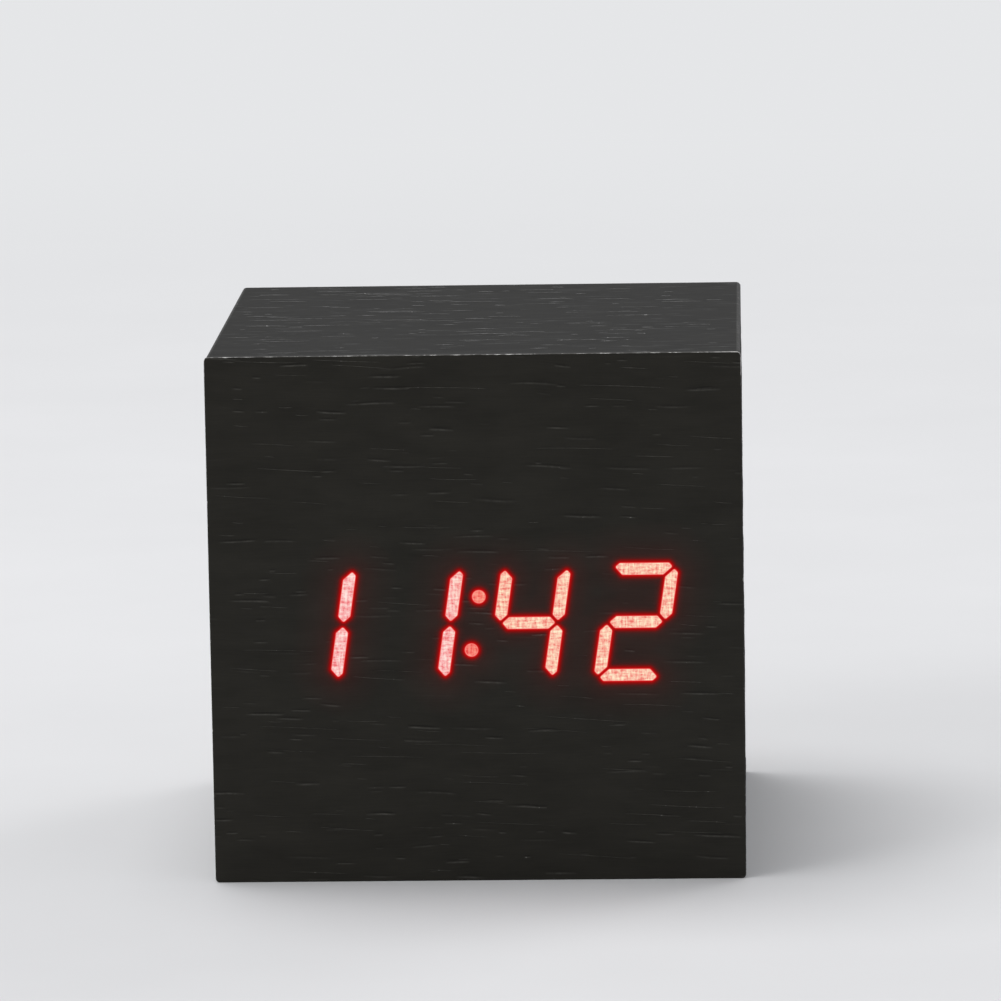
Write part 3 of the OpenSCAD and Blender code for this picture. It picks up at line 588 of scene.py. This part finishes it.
# outlines of the lit strokes, read from the plugs of the display
displayLook = {
    "time": {"digit_1": "bc", "digit_2": "bc", "digit_3": "bcfg", "digit_4": "abdeg"},
    "joinMm": 0.01,
    "faceMm": 0.05,  # points this close to a plug's front belong to its outline
    "levels": (0.3, 0.7),  # heights that part the bottom, middle and top strokes
    "lean": 0.15,  # of the digits' axis to the right
    "strokeRound": 0.2,  # radius of a lit stroke's corners in mm
    "dotOut": 0.01,  # light spills past the plugs of the dots
}


def plugOutlines(node, look):
    shape = bmesh.new()
    shape.from_mesh(nodes[node].data)
    bmesh.ops.remove_doubles(shape, verts=shape.verts, dist=look["joinMm"] * mm)
    front = min(v.co.y for v in shape.verts) + look["faceMm"] * mm
    left = dict.fromkeys(v for v in shape.verts if v.co.y < front)  # in order, so that every run is the same
    outlines = []
    while left:
        group, queue = [], [left.popitem()[0]]
        while queue:
            v = queue.pop()
            group.append((v.co.x / mm, v.co.z / mm))
            for edge in v.link_edges:
                other = edge.other_vert(v)
                if other in left:
                    del left[other]
                    queue.append(other)
        middle = np.mean(group, axis=0)
        group.sort(key=lambda p: atan2(p[1] - middle[1], p[0] - middle[0]))
        outlines.append(np.array(group))
    shape.free()
    return outlines


def strokeLetter(outline, low, high, look):
    # level strokes lie at the top, middle and bottom, and uprights left or right of the leaning axis
    wide, tall = np.ptp(outline, axis=0)
    middle = outline.mean(axis=0)
    rise = (middle[1] - low.z) / (high.z - low.z)
    if wide > tall:
        lower, upper = look["levels"]
        return "d" if rise < lower else "g" if rise < upper else "a"
    right = middle[0] > (low.x + high.x) / 2 + (rise - 0.5) * look["lean"] * (high.z - low.z)
    return ("b" if right else "f") if rise > 0.5 else ("c" if right else "e")


def sidesOf(outline):
    # sides of an anticlockwise outline, and their normals outwards
    sides = np.roll(outline, -1, axis=0) - outline
    return sides, np.stack([sides[:, 1], -sides[:, 0]], axis=1) / norm(sides, axis=1)[:, None]


def distanceTo(outline, points):
    # signed distance from a convex, anticlockwise outline
    edge, _ = sidesOf(outline)
    span = points[:, None, :] - outline[None]
    t = np.clip((span * edge).sum(-1) / (edge * edge).sum(-1), 0, 1)
    near = norm(span - t[..., None] * edge, axis=-1).min(axis=1)
    side = edge[:, 0] * span[..., 1] - edge[:, 1] * span[..., 0]
    return np.where((side > 0).all(axis=1), -near, near)


def inset(outline, d):
    # convex outline moved in by d on every side
    _, normals = sidesOf(outline)
    moved = []
    for i, p in enumerate(outline):
        pair = np.array((normals[i - 1], normals[i]))
        moved.append(solve(pair, pair @ p - d))
    return np.array(moved)


def nearestLight(points):
    # distance from the nearest lit edge, and 1 where that is a dot's
    reach, dotReach = (np.min([distanceTo(outline, points) - grown for outline, grown in group], axis=0)
                       for group in (strokes, dots))
    return np.minimum(reach, dotReach), (dotReach < reach).astype(float)


def offsetRing(outline, d, step):
    # points at distance d from a convex outline, round its corners outside
    points = []
    sides, normals = sidesOf(outline)
    for i, here in enumerate(outline):
        if d > 0:
            a0, a1 = (atan2(y, x) for x, y in (normals[i - 1], normals[i]))
            turn = (a1 - a0) % (2 * pi)
            cuts = max(1, round(turn * d / step))
            for k in range(cuts):
                a = a0 + turn * k / cuts
                points.append(here + d * np.array((cos(a), sin(a))))
        cuts = max(1, round(norm(sides[i]) / step))
        for k in range(cuts):
            points.append(here + sides[i] * k / cuts + d * normals[i])
    return np.array(points)


# each outline, and how far its light grows past it
strokes = []
grown = displayLook["strokeRound"]
for node, letters in displayLook["time"].items():
    low, high = boxMm(node)
    for plug in plugOutlines(node, displayLook):
        if strokeLetter(plug, low, high, displayLook) in letters:
            strokes.append((inset(plug, grown), grown))
dots = [(s, displayLook["dotOut"]) for s in plugOutlines("colon", displayLook)]
print("clock:", len(strokes), "lit strokes and", len(dots), "dots")


# raised lips of the grain, thin ridges in the mesh of the film
lipLook = {
    "sunk": 0.085,  # the film lies this far under the outer size, which the highest lips reach
    "halfWide": (0.03, 0.048),
    "high": (0.045, 0.085),
    "stationMm": 0.7,
    "fewest": 4,  # stations of a lip
    "apart": (0.4, 0.7),  # between two lips, along and across the grain
    "rim": 0.3,
    "lean": 0.03,
    "bend": 0.1,
    "crowd": (0.62, 0.9, 0.09, 0.16),  # chance of a lip, how far it sways, turns per mm along and across
    "uneven": (0.8, 0.5, 1.3),  # share of the height, how far it sways, step per station
    "cutSlack": 1e-5,
    "level": 0.99999,  # a face with a normal this near to an axis is level
}


def scatterLips(look, spread, seed, wide, tall, isClear=None):
    # rows of (along, across, half width, height) for each lip of a face that is wide by tall
    dice = random.Random(seed)
    lips, taken = [], []
    shortest, longest = spread["length"]
    gapAlong, gapAcross = look["apart"]
    chance, chanceSway, turnsAlong, turnsAcross = look["crowd"]
    share, shareSway, step = look["uneven"]
    for _ in range(spread["tries"]):
        length = shortest + (longest - shortest) * dice.random() ** spread["shortShare"]
        u, v = dice.uniform(0, wide), dice.uniform(0, tall)
        lean = spread["slope"] + dice.uniform(-look["lean"], look["lean"])
        bend = dice.uniform(-look["bend"], look["bend"])
        halfWide, high = dice.uniform(*look["halfWide"]), dice.uniform(*look["high"])
        crowd = chance + chanceSway * noise.noise(Vector((u * turnsAlong, v * turnsAcross, seed)))
        if dice.random() > crowd:
            continue
        if any(abs(u - a) < (length + b) / 2 + gapAlong and abs(v - c) < gapAcross for a, b, c in taken):
            continue
        count = max(look["fewest"], round(length / look["stationMm"]))
        rows = []
        for k in range(count + 1):
            t = 2 * k / count - 1
            swell = sqrt(max(0.0, 1 - t * t))
            uneven = share + shareSway * noise.noise(Vector((u + step * k, v, seed)))
            rows.append((u + t * length / 2, v + lean * t * length / 2 + bend * (1 - t * t), halfWide * swell,
                         min(look["sunk"], high * swell * uneven)))
        ends = np.array(rows)[:, :2]
        inside = ends.min() > look["rim"] and (ends.max(axis=0) < np.array((wide, tall)) - look["rim"]).all()
        if inside and (isClear is None or isClear(ends)):
            lips.append(rows)
            taken.append((u, length, v))
    return lips


def cutFlat(pattern, edges, lips):
    # a flat, cut along the lips' outlines and crests: points, those they come from, heights, triangles
    rise = [0.0] * len(pattern)
    for rows in lips:
        chains = [[], [], []]
        for k, (u, v, halfWide, high) in enumerate(rows):
            sides = (0,) if k in (0, len(rows) - 1) else (-1, 0, 1)  # the ends are points
            for i, chain in enumerate(chains):
                chain.append(len(pattern) + min(i, len(sides) - 1))
            pattern += [Vector((u, v + side * halfWide)) for side in sides]
            rise += [0.0 if side else high for side in sides]
        for chain in chains:
            edges += list(zip(chain, chain[1:]))
    points, _, triangles, sources, _, _ = delaunay_2d_cdt(pattern, edges, [], 1, lipLook["cutSlack"])
    heights = [max([rise[i] for i in source], default=0.0) for source in sources]
    return points, sources, heights, triangles


def shadeFlats(obj):
    # level faces are shaded flat, so that the lips and rolled edges don't bend their light
    for face in obj.data.polygons:
        face.use_smooth = max(abs(c) for c in face.normal) < lipLook["level"]


# front film
frontFilm = {
    "cornerMm": 0.5,
    "cornerSteps": 8,
    "sideCuts": 60,
    "roll": 0.1,  # radius of the front edge in mm
    "rollSteps": 5,
    "wander": 0.035,  # unevenness of the roll
    "waves": [(0.7, 4.0, 1.0), (2.3, 9.0, 0.6)],  # of the wander: turns per mm, layer, share
    "strokeStep": 0.2,  # mm between the points of a stroke's edge
    # lines round the strokes: distance, mm between points
    "rings": [(-0.3, 0.3), (-0.14, 0.22), (-0.06, 0.2), (0.05, 0.2), (0.12, 0.22), (0.2, 0.24), (0.3, 0.28),
              (0.42, 0.32), (0.55, 0.4), (0.72, 0.5), (0.95, 0.6), (1.3, 0.8), (1.8, 1.0), (2.5, 1.3),
              (3.4, 1.7), (4.8, 2.2)],
    "ringSlack": 0.02,
    "gridMm": 3.0,
    "gridRim": 1.5,
    "gridFrom": 5.5,  # mm from the strokes
    # edges lightened by wear and a painted highlight, most on the top
    "wearAndHighlight": {"top": 0.66, "left": 0.5, "right": 0.44, "bottom": 0.25},
    "sideWearAndLight": (0.55, 1.0),  # share of it on the left and right, at the foot and at the top
    # edges lighter near an end, from wear and a painted highlight: edge, end, how much, over how many mm
    "rubbedAndLit": [("right", "top", 0.9, 3.5), ("right", "bottom", 0.6, 6.0), ("left", "top", 0.5, 2.5),
               ("top", "right", 0.4, 6.0)],
    # grain lips: how many are tried, length in mm, lean to short ones, slope, mm clear of the lit strokes
    "lips": {"seed": 7, "tries": 340, "length": (1.4, 11.0), "shortShare": 1.3, "slope": -0.05, "clear": 0.5},
    "paintedLipLight": (0.52, 0.80),  # painted light: the lips' paleness at the foot and at the top, darker lower down
}


def roundSquare(half, radius, steps, sideCuts):
    # points anticlockwise from the top of the right side, as seen from the front
    corners = (half - radius) * np.array(((1, 1), (-1, 1), (-1, -1), (1, -1)))
    points = []
    for i, centre in enumerate(corners):
        for k in range(steps + 1):
            a = pi / 2 * (i + k / steps)
            reach = radius * np.array((cos(a), sin(a)))
            points.append(centre + reach)
        start, end = points[-1], corners[(i + 1) % 4] + reach
        points += [start + (end - start) * k / sideCuts for k in range(1, sideCuts)]
    return np.array(points)


def edgeWearAt(point, half, look):
    # how much an edge is lightened by wear and painted highlight
    x, z = point
    near = {"top": half - z, "bottom": half + z, "left": half + x, "right": half - x}
    side = min(near, key=near.get)
    amount = look["wearAndHighlight"][side]
    if side in ("left", "right"):
        amount *= np.interp(z, (-half, half), look["sideWearAndLight"])
    for edge, end, more, reach in look["rubbedAndLit"]:
        if edge == side:
            amount += more * max(0.0, 1 - near[end] / reach)
    return min(1.0, amount)


def rolledRim(look, half, midZ, level, back):
    # rings of points round the front edge, from the back of the film to its flat, with their wear and painted
    # highlight
    inner = half - look["cornerMm"]
    outline = roundSquare(half, look["cornerMm"], look["cornerSteps"], look["sideCuts"])
    points, wearAndHighlight = [], []
    for k in range(look["rollSteps"] + 2):
        a = pi / 2 * max(0, k - 1) / look["rollSteps"]
        peak = sin(pi * min(1, max(0, (k - 0.5) / look["rollSteps"])))
        for p in outline:
            inward = np.clip(p, -inner, inner) - p  # on a corner, to its middle
            inward /= norm(inward)
            uneven = 0.0
            for turns, layer, share in look["waves"]:
                uneven += share * noise.noise(Vector((p[0] * turns, p[1] * turns, layer)))
            roll = min(look["roll"] + look["wander"] * uneven, back - level)
            q = p + inward * roll * (1 - cos(a))
            y = back if k == 0 else level + roll * (1 - sin(a))
            points.append((q[0], y, q[1] + midZ))
            wearAndHighlight.append(edgeWearAt(p, half, look) * peak)
    return points, wearAndHighlight, len(outline)


def frontPattern(look, rim, half, midZ):
    # flat of the front, cut along the strokes and along lines round them
    flat = list(rim)
    edges = [(i, (i + 1) % len(rim)) for i in range(len(rim))]
    for outline, grown in strokes + dots:
        first = len(flat)
        ring = offsetRing(outline, grown, look["strokeStep"])
        flat += [Vector(p) for p in ring]
        edges += [(first + i, first + (i + 1) % len(ring)) for i in range(len(ring))]
    for d, step in look["rings"]:
        for outline, grown in strokes + dots:
            ring = offsetRing(outline, d + grown, step)
            reach, _ = nearestLight(ring)
            flat += [Vector(p) for p, r in zip(ring, reach) if abs(r - d) < look["ringSlack"] * (1 + abs(d))]
    steps = np.arange(-half + look["gridRim"], half - look["gridRim"], look["gridMm"])
    grid = np.array([(x, z + midZ) for x in steps for z in steps])
    reach, _ = nearestLight(grid)
    flat += [Vector(p) for p, r in zip(grid, reach) if r > look["gridFrom"]]
    return flat, edges


def makeFrontFilm(look):
    low, high = boxMm("front_veneer")
    half = (high.x - low.x) / 2
    midZ = (low.z + high.z) / 2
    level = low.y + lipLook["sunk"]
    points, wearAndHighlight, count = rolledRim(look, half, midZ, level, high.y)
    faces = quadsBetween(0, look["rollSteps"] + 1, count)
    rim = [Vector((x, z)) for x, _, z in points[-count:]]
    flat, edges = frontPattern(look, rim, half, midZ)
    shift = np.array((-half, midZ - half))

    def clearOfLight(spots):
        return nearestLight(spots + shift)[0].min() > look["lips"]["clear"]

    lips = scatterLips(lipLook, look["lips"], look["lips"]["seed"], 2 * half, 2 * half, clearOfLight)
    lips = [[(u - half, v + midZ - half, w, h) for u, v, w, h in rows] for rows in lips]
    spots, _, heights, triangles = cutFlat(flat, edges, lips)
    first = len(points)
    ridgeLight = [0.0] * first
    for p, up in zip(spots, heights):
        points.append((p[0], level - up, p[1]))
        # lips painted paler towards the top, as the light falls
        ridgeLight.append(np.interp(p[1], (low.z, high.z), look["paintedLipLight"]) if up > 0 else 0.0)
        wearAndHighlight.append(0.0)
    faces += [tuple(first + i for i in triangle) for triangle in triangles]
    faces.append(tuple(reversed(range(count))))
    obj = newObject("frontFilm", points, faces, finishes["litFilm"])
    cleanUp(obj, weldMm)
    spots = spotsMm(obj)
    reach, onDot = nearestLight(spots[:, [0, 2]])
    lookup = {tuple(np.round(p, 3)): pair for p, pair in zip(points, zip(wearAndHighlight, ridgeLight))}
    found = np.array([lookup.get(tuple(np.round(p, 3)), (0.0, 0.0)) for p in spots])
    writeValues(obj, grainAt=spots[:, [0, 2, 1]] * (1, 1, 0), glowAt=reach, glowDim=onDot,
                edgeWear=found[:, 0], lipAt=found[:, 1])
    shadeFlats(obj)
    print("clock:", len(lips), "grain lips on the front")
    return obj


finishes["litFilm"] = grainFilm("litFilm", frontGrain, lit=True)
dress(makeFrontFilm(frontFilm), "case", "grain_film", "front_veneer")
print("clock: front film cut round the strokes")

# side film
sideFilm = {
    "thick": 0.34,
    "cornerMm": 0.5,
    "cornerSteps": 8,
    "sideCuts": 24,
    "lips": {"seed": 31, "tries": 330, "length": (1.2, 9.0), "shortShare": 1.8, "slope": 0.0},
    "paintedLipLight": (1.0, 0.45, 0.45, 0.45),  # top, left, bottom, right: the top's lips are the palest, a painted highlight
    "rearRoll": 0.12,
    "rearSteps": 3,
    # wear with painted highlight, on the rounded corners and along the front edge
    "cornerWearAndLight": 0.31,
    "cornerSlack": 0.02,
    "frontWearAndLight": [(0.0, 0.34), (0.5, 0.32), (1.2, 0.16), (2.2, 0.0)],  # mm behind the front edge, on the top
    "sideShare": 0.3,  # of the front's wear and painted highlight, on the other three sides
    "grainShift": 200,  # keeps its grain apart from the front's
}


def makeSideFilm(look):
    low, high = boxMm("side_veneer")
    half = (high.x - low.x) / 2 - lipLook["sunk"]
    midZ = (low.z + high.z) / 2
    corner, steps, cuts = look["cornerMm"], look["cornerSteps"], look["sideCuts"]
    outline = roundSquare(half, corner, steps, cuts)
    lining = roundSquare(half - look["thick"], corner - look["thick"], steps, cuts)
    count = len(outline)
    lengths = norm(np.roll(outline, -1, axis=0) - outline, axis=1)
    wrap = np.concatenate([[0], np.cumsum(lengths)])
    backs, amounts = zip(*look["frontWearAndLight"])
    rows, wide = len(backs), cuts + 1
    rings = [(low.y + back, 0.0) for back in backs]
    for k in range(look["rearSteps"] + 1):
        a = pi / 2 * k / look["rearSteps"]
        rings.append((high.y - look["rearRoll"] * (1 - sin(a)), look["rearRoll"] * (1 - cos(a))))
    rings += [(high.y, None), (low.y, None), (low.y, 0.0)]
    points, grain, wearAndHighlight, faces = [], [], [], []

    def addPoint(p, y, along, onCorner, onTop):
        rubbedAndLit = np.interp(y - low.y, backs, amounts) * (1.0 if onTop else look["sideShare"])
        points.append((p[0], y, p[1] + midZ))
        grain.append((-along, y + look["grainShift"], 0))
        wearAndHighlight.append(max(look["cornerWearAndLight"] if onCorner else 0.0, rubbedAndLit))

    for y, drawn in rings:
        for i in range(count + 1):
            p = outline[i % count]
            q = lining[i % count] if drawn is None else p * (half - drawn) / half
            onCorner = np.abs(p).min() > half - corner + look["cornerSlack"]
            addPoint(q, y, wrap[i], onCorner, p[1] > half - corner)
    quarter = steps + cuts
    flats = [range(side * quarter + steps, (side + 1) * quarter) for side in range(4)]
    for k in range(len(rings) - 1):
        for i in range(count):
            if k < rows and any(i in flat for flat in flats):
                continue
            a = k * (count + 1) + i
            faces.append((a, a + count + 1, a + count + 2, a + 1))
    # the four flats, cut along their lips
    ridgeLight = [0.0] * len(points)
    for side, flat in enumerate(flats):
        first = flat[0]
        start = outline[first]
        ahead = (outline[(first + cuts) % count] - start) / (wrap[first + cuts] - wrap[first])
        outward = np.array((ahead[1], -ahead[0]))
        pattern, owners = [], []
        for k in range(rows + 1):
            for j in range(wide):
                pattern.append(Vector((wrap[first + j] - wrap[first], rings[k][0] - low.y)))
                owners.append(k * (count + 1) + first + j)
        edges = [(k + j, k + j + 1) for k in (0, rows * wide) for j in range(cuts)]
        edges += [(k * wide + e, (k + 1) * wide + e) for k in range(rows) for e in (0, cuts)]
        seed = look["lips"]["seed"] + side
        lips = scatterLips(lipLook, look["lips"], seed, 2 * (half - corner), high.y - low.y)
        spots, sources, heights, triangles = cutFlat(pattern, edges, lips)
        index = []
        for p, source, up in zip(spots, sources, heights):
            known = [owners[i] for i in source if i < len(owners)]
            if known:
                index.append(known[0])
                continue
            index.append(len(points))
            addPoint(start + ahead * p[0] + outward * up, low.y + p[1], wrap[first] + p[0], False, side == 0)
            # the top's lips painted palest, as a highlight
            ridgeLight.append(look["paintedLipLight"][side] if up > 0 else 0.0)
        faces += [tuple(index[i] for i in triangle) for triangle in triangles]
    obj = newObject("sideFilm", points, faces, finishes["grain_film"])
    cleanUp(obj)
    writeValues(obj, grainAt=grain, edgeWear=wearAndHighlight, lipAt=ridgeLight)
    shadeFlats(obj)
    return obj


dress(makeSideFilm(sideFilm), "case", "grain_film", "side_veneer")
print("clock: side film wrapped")

# battery cells, lying crosswise
cellLook = {
    "steps": 64,
    "length": 44.5,
    "radius": 5.25,
    "flatEnd": [(0.0, 0.0), (0.0, 3.3), (0.22, 3.55), (0.22, 4.15)],
    "sleeve": [(0.22, 4.15), (0.03, 4.32), (0.0, 4.75), (0.1, 5.02), (0.32, 5.19), (0.65, 5.25),
               (42.6, 5.25), (42.95, 5.18), (43.18, 4.98), (43.28, 4.7), (43.24, 4.3), (43.02, 4.2)],
    "washer": [(43.02, 4.2), (43.02, 2.75)],
    "nub": [(43.02, 2.75), (43.2, 2.5), (43.28, 2.1), (43.42, 1.93), (44.2, 1.9), (44.42, 1.78), (44.5, 1.5),
            (44.5, 0.0)],
    "slack": 0.01,
    "endMm": 0.05,  # points this close to an end belong to it
    "narrower": 1.0,  # the nub than the cell, at the least
    # colours of the sleeve: from, to, as shares of the length
    "bands": [(0.0, 0.235, (0.022, 0.024, 0.028)), (0.24, 0.255, (0.46, 0.47, 0.48)),
              (0.26, 0.90, (0.17, 0.185, 0.205)), (0.905, 1.0, (0.46, 0.47, 0.48))],
}


def cellSleeve(name, look):
    newMaterial(name)
    at = inMm()
    along = calc("DIVIDE", painted("alongCell"), look["length"])
    bands = ramp(along, [(place, colour) for *ends, colour in look["bands"] for place in ends])
    haze = sway(noiseAt(at, 0.5), 1.0, 0.07)
    crease = stretched(at, (0.12, 1.0, 1.0), 3.0, 0.6, 1.4)
    return surface(tinted(bands, haze), sway(crease, 0.29, 0.07), crease, 0.02, 0.4, metallic=0.35)


def cellAxis(node, look):
    # where the flat end lies in x, which way the nub points, and the middle in y and z
    low, high = boxMm(node)
    spots = spotsMm(nodes[node])
    right = spots[spots[:, 0] > spots[:, 0].max() - look["endMm"]]
    nubOnRight = np.ptp(right[:, 2]) < 2 * (look["radius"] - look["narrower"])
    start, way = (low.x, 1) if nubOnRight else (high.x, -1)
    return start, way, (low.y + high.y) / 2, (low.z + high.z) / 2


def makeCell(node, look):
    start, way, midY, midZ = cellAxis(node, look)

    def place(along, a, b):
        return (start + way * along, midY + a, midZ + b)

    profile = list(look["flatEnd"])
    for part in ("sleeve", "washer", "nub"):
        profile += look[part][1:]
    obj = lathe(node + "_wrapped", profile, look["steps"], place, finishes["cellWrap"])
    for material in (finishes["nickel"], finishes["jack_plastic"]):
        obj.data.materials.append(material)
    spots = spotsMm(obj)
    along = (spots[:, 0] - start) * way
    away = np.hypot(spots[:, 1] - midY, spots[:, 2] - midZ)
    writeValues(obj, alongCell=along)
    # bare metal at both ends, a dark washer round the nub
    flatAt, flatWide = look["flatEnd"][-1]
    (washerAt, washerWide), (_, nubWide) = look["washer"]
    for face in obj.data.polygons:
        t, r = (np.mean([values[i] for i in face.vertices]) for values in (along, away))
        onWasher = abs(t - washerAt) < look["slack"] and nubWide < r < washerWide
        onMetal = t < flatAt + look["slack"] and r < flatWide or t > washerAt and r < nubWide
        face.material_index = 2 if onWasher else 1 if onMetal else 0
    return obj


finishes["cellWrap"] = cellSleeve("cellWrap", cellLook)
for node in ("cell_1", "cell_2", "cell_3"):
    dress(makeCell(node, cellLook), "case", "cell_sleeve", node)
print("clock: cells wrapped")

# springs of the negative contacts
springLook = {
    "turns": 3.2,
    "wide": 3.4,
    "narrow": 2.0,
    "wire": 0.5,
    "length": 2.9,
    "flatShare": 0.16,  # of the wire that lies flat at the foot
    "climbShare": 0.66,
    "ringsPerTurn": 40,
    "sides": 12,
}


def makeSprings(look):
    points, faces = [], []
    for node in ("cell_1", "cell_2", "cell_3"):
        start, way, midY, midZ = cellAxis(node, cellLook)
        foot = start - way * look["length"]
        count = round(look["turns"] * look["ringsPerTurn"])
        path = []
        for k in range(count + 1):
            s = k / count
            rise = min(1, max(0, (s - look["flatShare"]) / look["climbShare"]))
            rise = rise * rise * (3 - 2 * rise)
            along = look["wire"] / 2 + (look["length"] - look["wire"]) * rise
            radius = look["wide"] + (look["narrow"] - look["wide"]) * s
            a = way * 2 * pi * look["turns"] * s
            y, z = midY + radius * cos(a), midZ + radius * sin(a)
            path.append(Vector((foot + way * along, y, z)))
        tubeAlong(path, look["wire"] / 2, look["sides"], points, faces)
    return newObject("contactSprings", points, faces, finishes["nickel"])


dress(makeSprings(springLook), "case", "nickel", "cell_springs")
print("clock: springs wound")

# push buttons, turned from a profile: depth below the rim and radius
buttonLook = {
    "steps": 72,
    "keys": {"set_button": "set_key", "up_button": "up_key", "down_button": "down_key"},
    "stalk": [(5.634, 0.0), (5.634, 1.25), (5.5, 1.4), (4.334, 1.4), (4.334, 3.5), (4.234, 3.6), (3.434, 3.6),
              (3.334, 3.5), (3.334, 2.9)],
    "capRadius": 2.9,
    "rim": 0.36,
    "dish": 0.2,
    "dishPower": 0.8,
    "rings": 8,  # of the rim, and of the dish
}


def makeButton(node, look):
    low, high = boxMm(node)
    midX, midZ = (low.x + high.x) / 2, (low.z + high.z) / 2
    profile = list(look["stalk"])
    inner = look["capRadius"] - look["rim"]
    turns = [pi / 2 * k / look["rings"] for k in range(look["rings"] + 1)]
    for a in turns:
        profile.append((look["rim"] * (1 - sin(a)), inner + look["rim"] * cos(a)))
    for k, a in list(enumerate(turns))[1:]:
        profile.append((look["dish"] * sin(a) ** look["dishPower"], inner * (1 - k / look["rings"])))

    def place(along, a, b):
        return (midX + a, high.y - along, midZ + b)

    return lathe(node + "_cap", profile, look["steps"], place, finishes["button_plastic"])


for node, body in buttonLook["keys"].items():
    dress(makeButton(node, buttonLook), body, "button_plastic", node)
print("clock: buttons turned")

# rounded edges of the mouldings and metal that show
softEdges = {
    "joinMm": 0.001,
    "flatDegrees": 1,
    "sharpDegrees": 40,
    "segments": 2,
    "widthMm": {
        "back_panel": 0.14, "battery_door": 0.16, "battery_tray": 0.12, "power_jack": 0.16,
        "power_jack_pin": 0.22, "back_screws": 0.08, "positive_contact": 0.05, "negative_contact": 0.05,
        "link_contact_left": 0.05, "link_contact_right": 0.05,
    },
}


def softenEdges(node, widthMm, look):
    # loose triangles are joined, and flats made whole, before the edges are rounded
    modifiers = nodes[node].modifiers
    setAll(modifiers.new("join", "WELD"), merge_threshold=look["joinMm"] * mm)
    setAll(modifiers.new("flats", "DECIMATE"), decimate_type="DISSOLVE",
           angle_limit=radians(look["flatDegrees"]))
    setAll(modifiers.new("soften", "BEVEL"), width=widthMm * mm, segments=look["segments"],
           limit_method="ANGLE", angle_limit=radians(look["sharpDegrees"]), loop_slide=False,
           use_clamp_overlap=False, harden_normals=True)


for node, widthMm in softEdges["widthMm"].items():
    softenEdges(node, widthMm, softEdges)
print("clock: edges softened on", len(softEdges["widthMm"]), "pieces")

# floor, light and background
studio = {
    "floor": (0.74, 0.74, 0.75),
    "floorHalf": 4.0,
    "floorRoughness": 0.9,
    "floorSpecular": 0.1,
    "tintScale": 0.02,
    "tintTone": (1.0, 0.015),
    "farFloor": (0.785, 0.793, 0.808),  # even tone that the floor runs out to, in view and in gloss
    "farFrom": (200, 750),  # mm from the middle
    "world": (0.62, 0.63, 0.65),
    "worldStrength": 0.55,
    "lamps": [
        # name, place, size, watts
        ("softboxTop", (-0.25, 0.15, 1.25), 1.0, 11.0),
        ("softboxLeft", (-1.1, -0.9, 0.75), 0.8, 5.0),
        ("softboxRight", (0.9, 0.9, 0.7), 0.7, 3.5),
    ],
    "aim": (0, 0, 0.03),
}


def makeFloor(look):
    newMaterial("paleFloor")
    tint = sway(noiseAt(inMm(), look["tintScale"]), *look["tintTone"])
    feedAll(wiring["shader"], {
        "Base Color": tinted(look["floor"], tint),
        "Roughness": look["floorRoughness"],
        "Specular IOR Level": look["floorSpecular"]})
    away = add("VectorMath", {0: inMm()}, operation="LENGTH").outputs["Value"]
    rays = add("LightPath").outputs
    seen = calc("MAXIMUM", rays["Is Glossy Ray"], rays["Is Transmission Ray"])
    seen = calc("MAXIMUM", rays["Is Camera Ray"], seen)
    far = times(seen, remap(away, *look["farFrom"], kind="SMOOTHSTEP"))
    even = add("Emission", {"Color": rgba(look["farFloor"]), "Strength": 1.0}).outputs[0]
    both = add("MixShader", {0: far, 1: wiring["shader"].outputs[0], 2: even}).outputs[0]
    feedAll(wiring["tree"].nodes["Material Output"], {"Surface": both})
    h = look["floorHalf"] / mm
    corners = [(-h, -h, 0), (h, -h, 0), (h, h, 0), (-h, h, 0)]
    floor = newObject("floor", corners, [(0, 1, 2, 3)], wiring["material"])


def setLight(look):
    world = bpy.data.worlds.new("paleRoom")
    world.use_nodes = True
    backdrop = {"Color": rgba(look["world"]), "Strength": look["worldStrength"]}
    feedAll(world.node_tree.nodes["Background"], backdrop)
    bpy.context.scene.world = world
    for name, place, size, watts in look["lamps"]:
        data = setAll(bpy.data.lights.new(name, "AREA"), shape="DISK", size=size, energy=watts)
        lamp = linked(name, data)
        lamp.location = place
        lamp.rotation_euler = (Vector(look["aim"]) - Vector(place)).to_track_quat("-Z", "Y").to_euler()
    bpy.context.scene.view_settings.view_transform = "Standard"


makeFloor(studio)
setLight(studio)
print("clock: floor and lamps set")

print("clock: done")
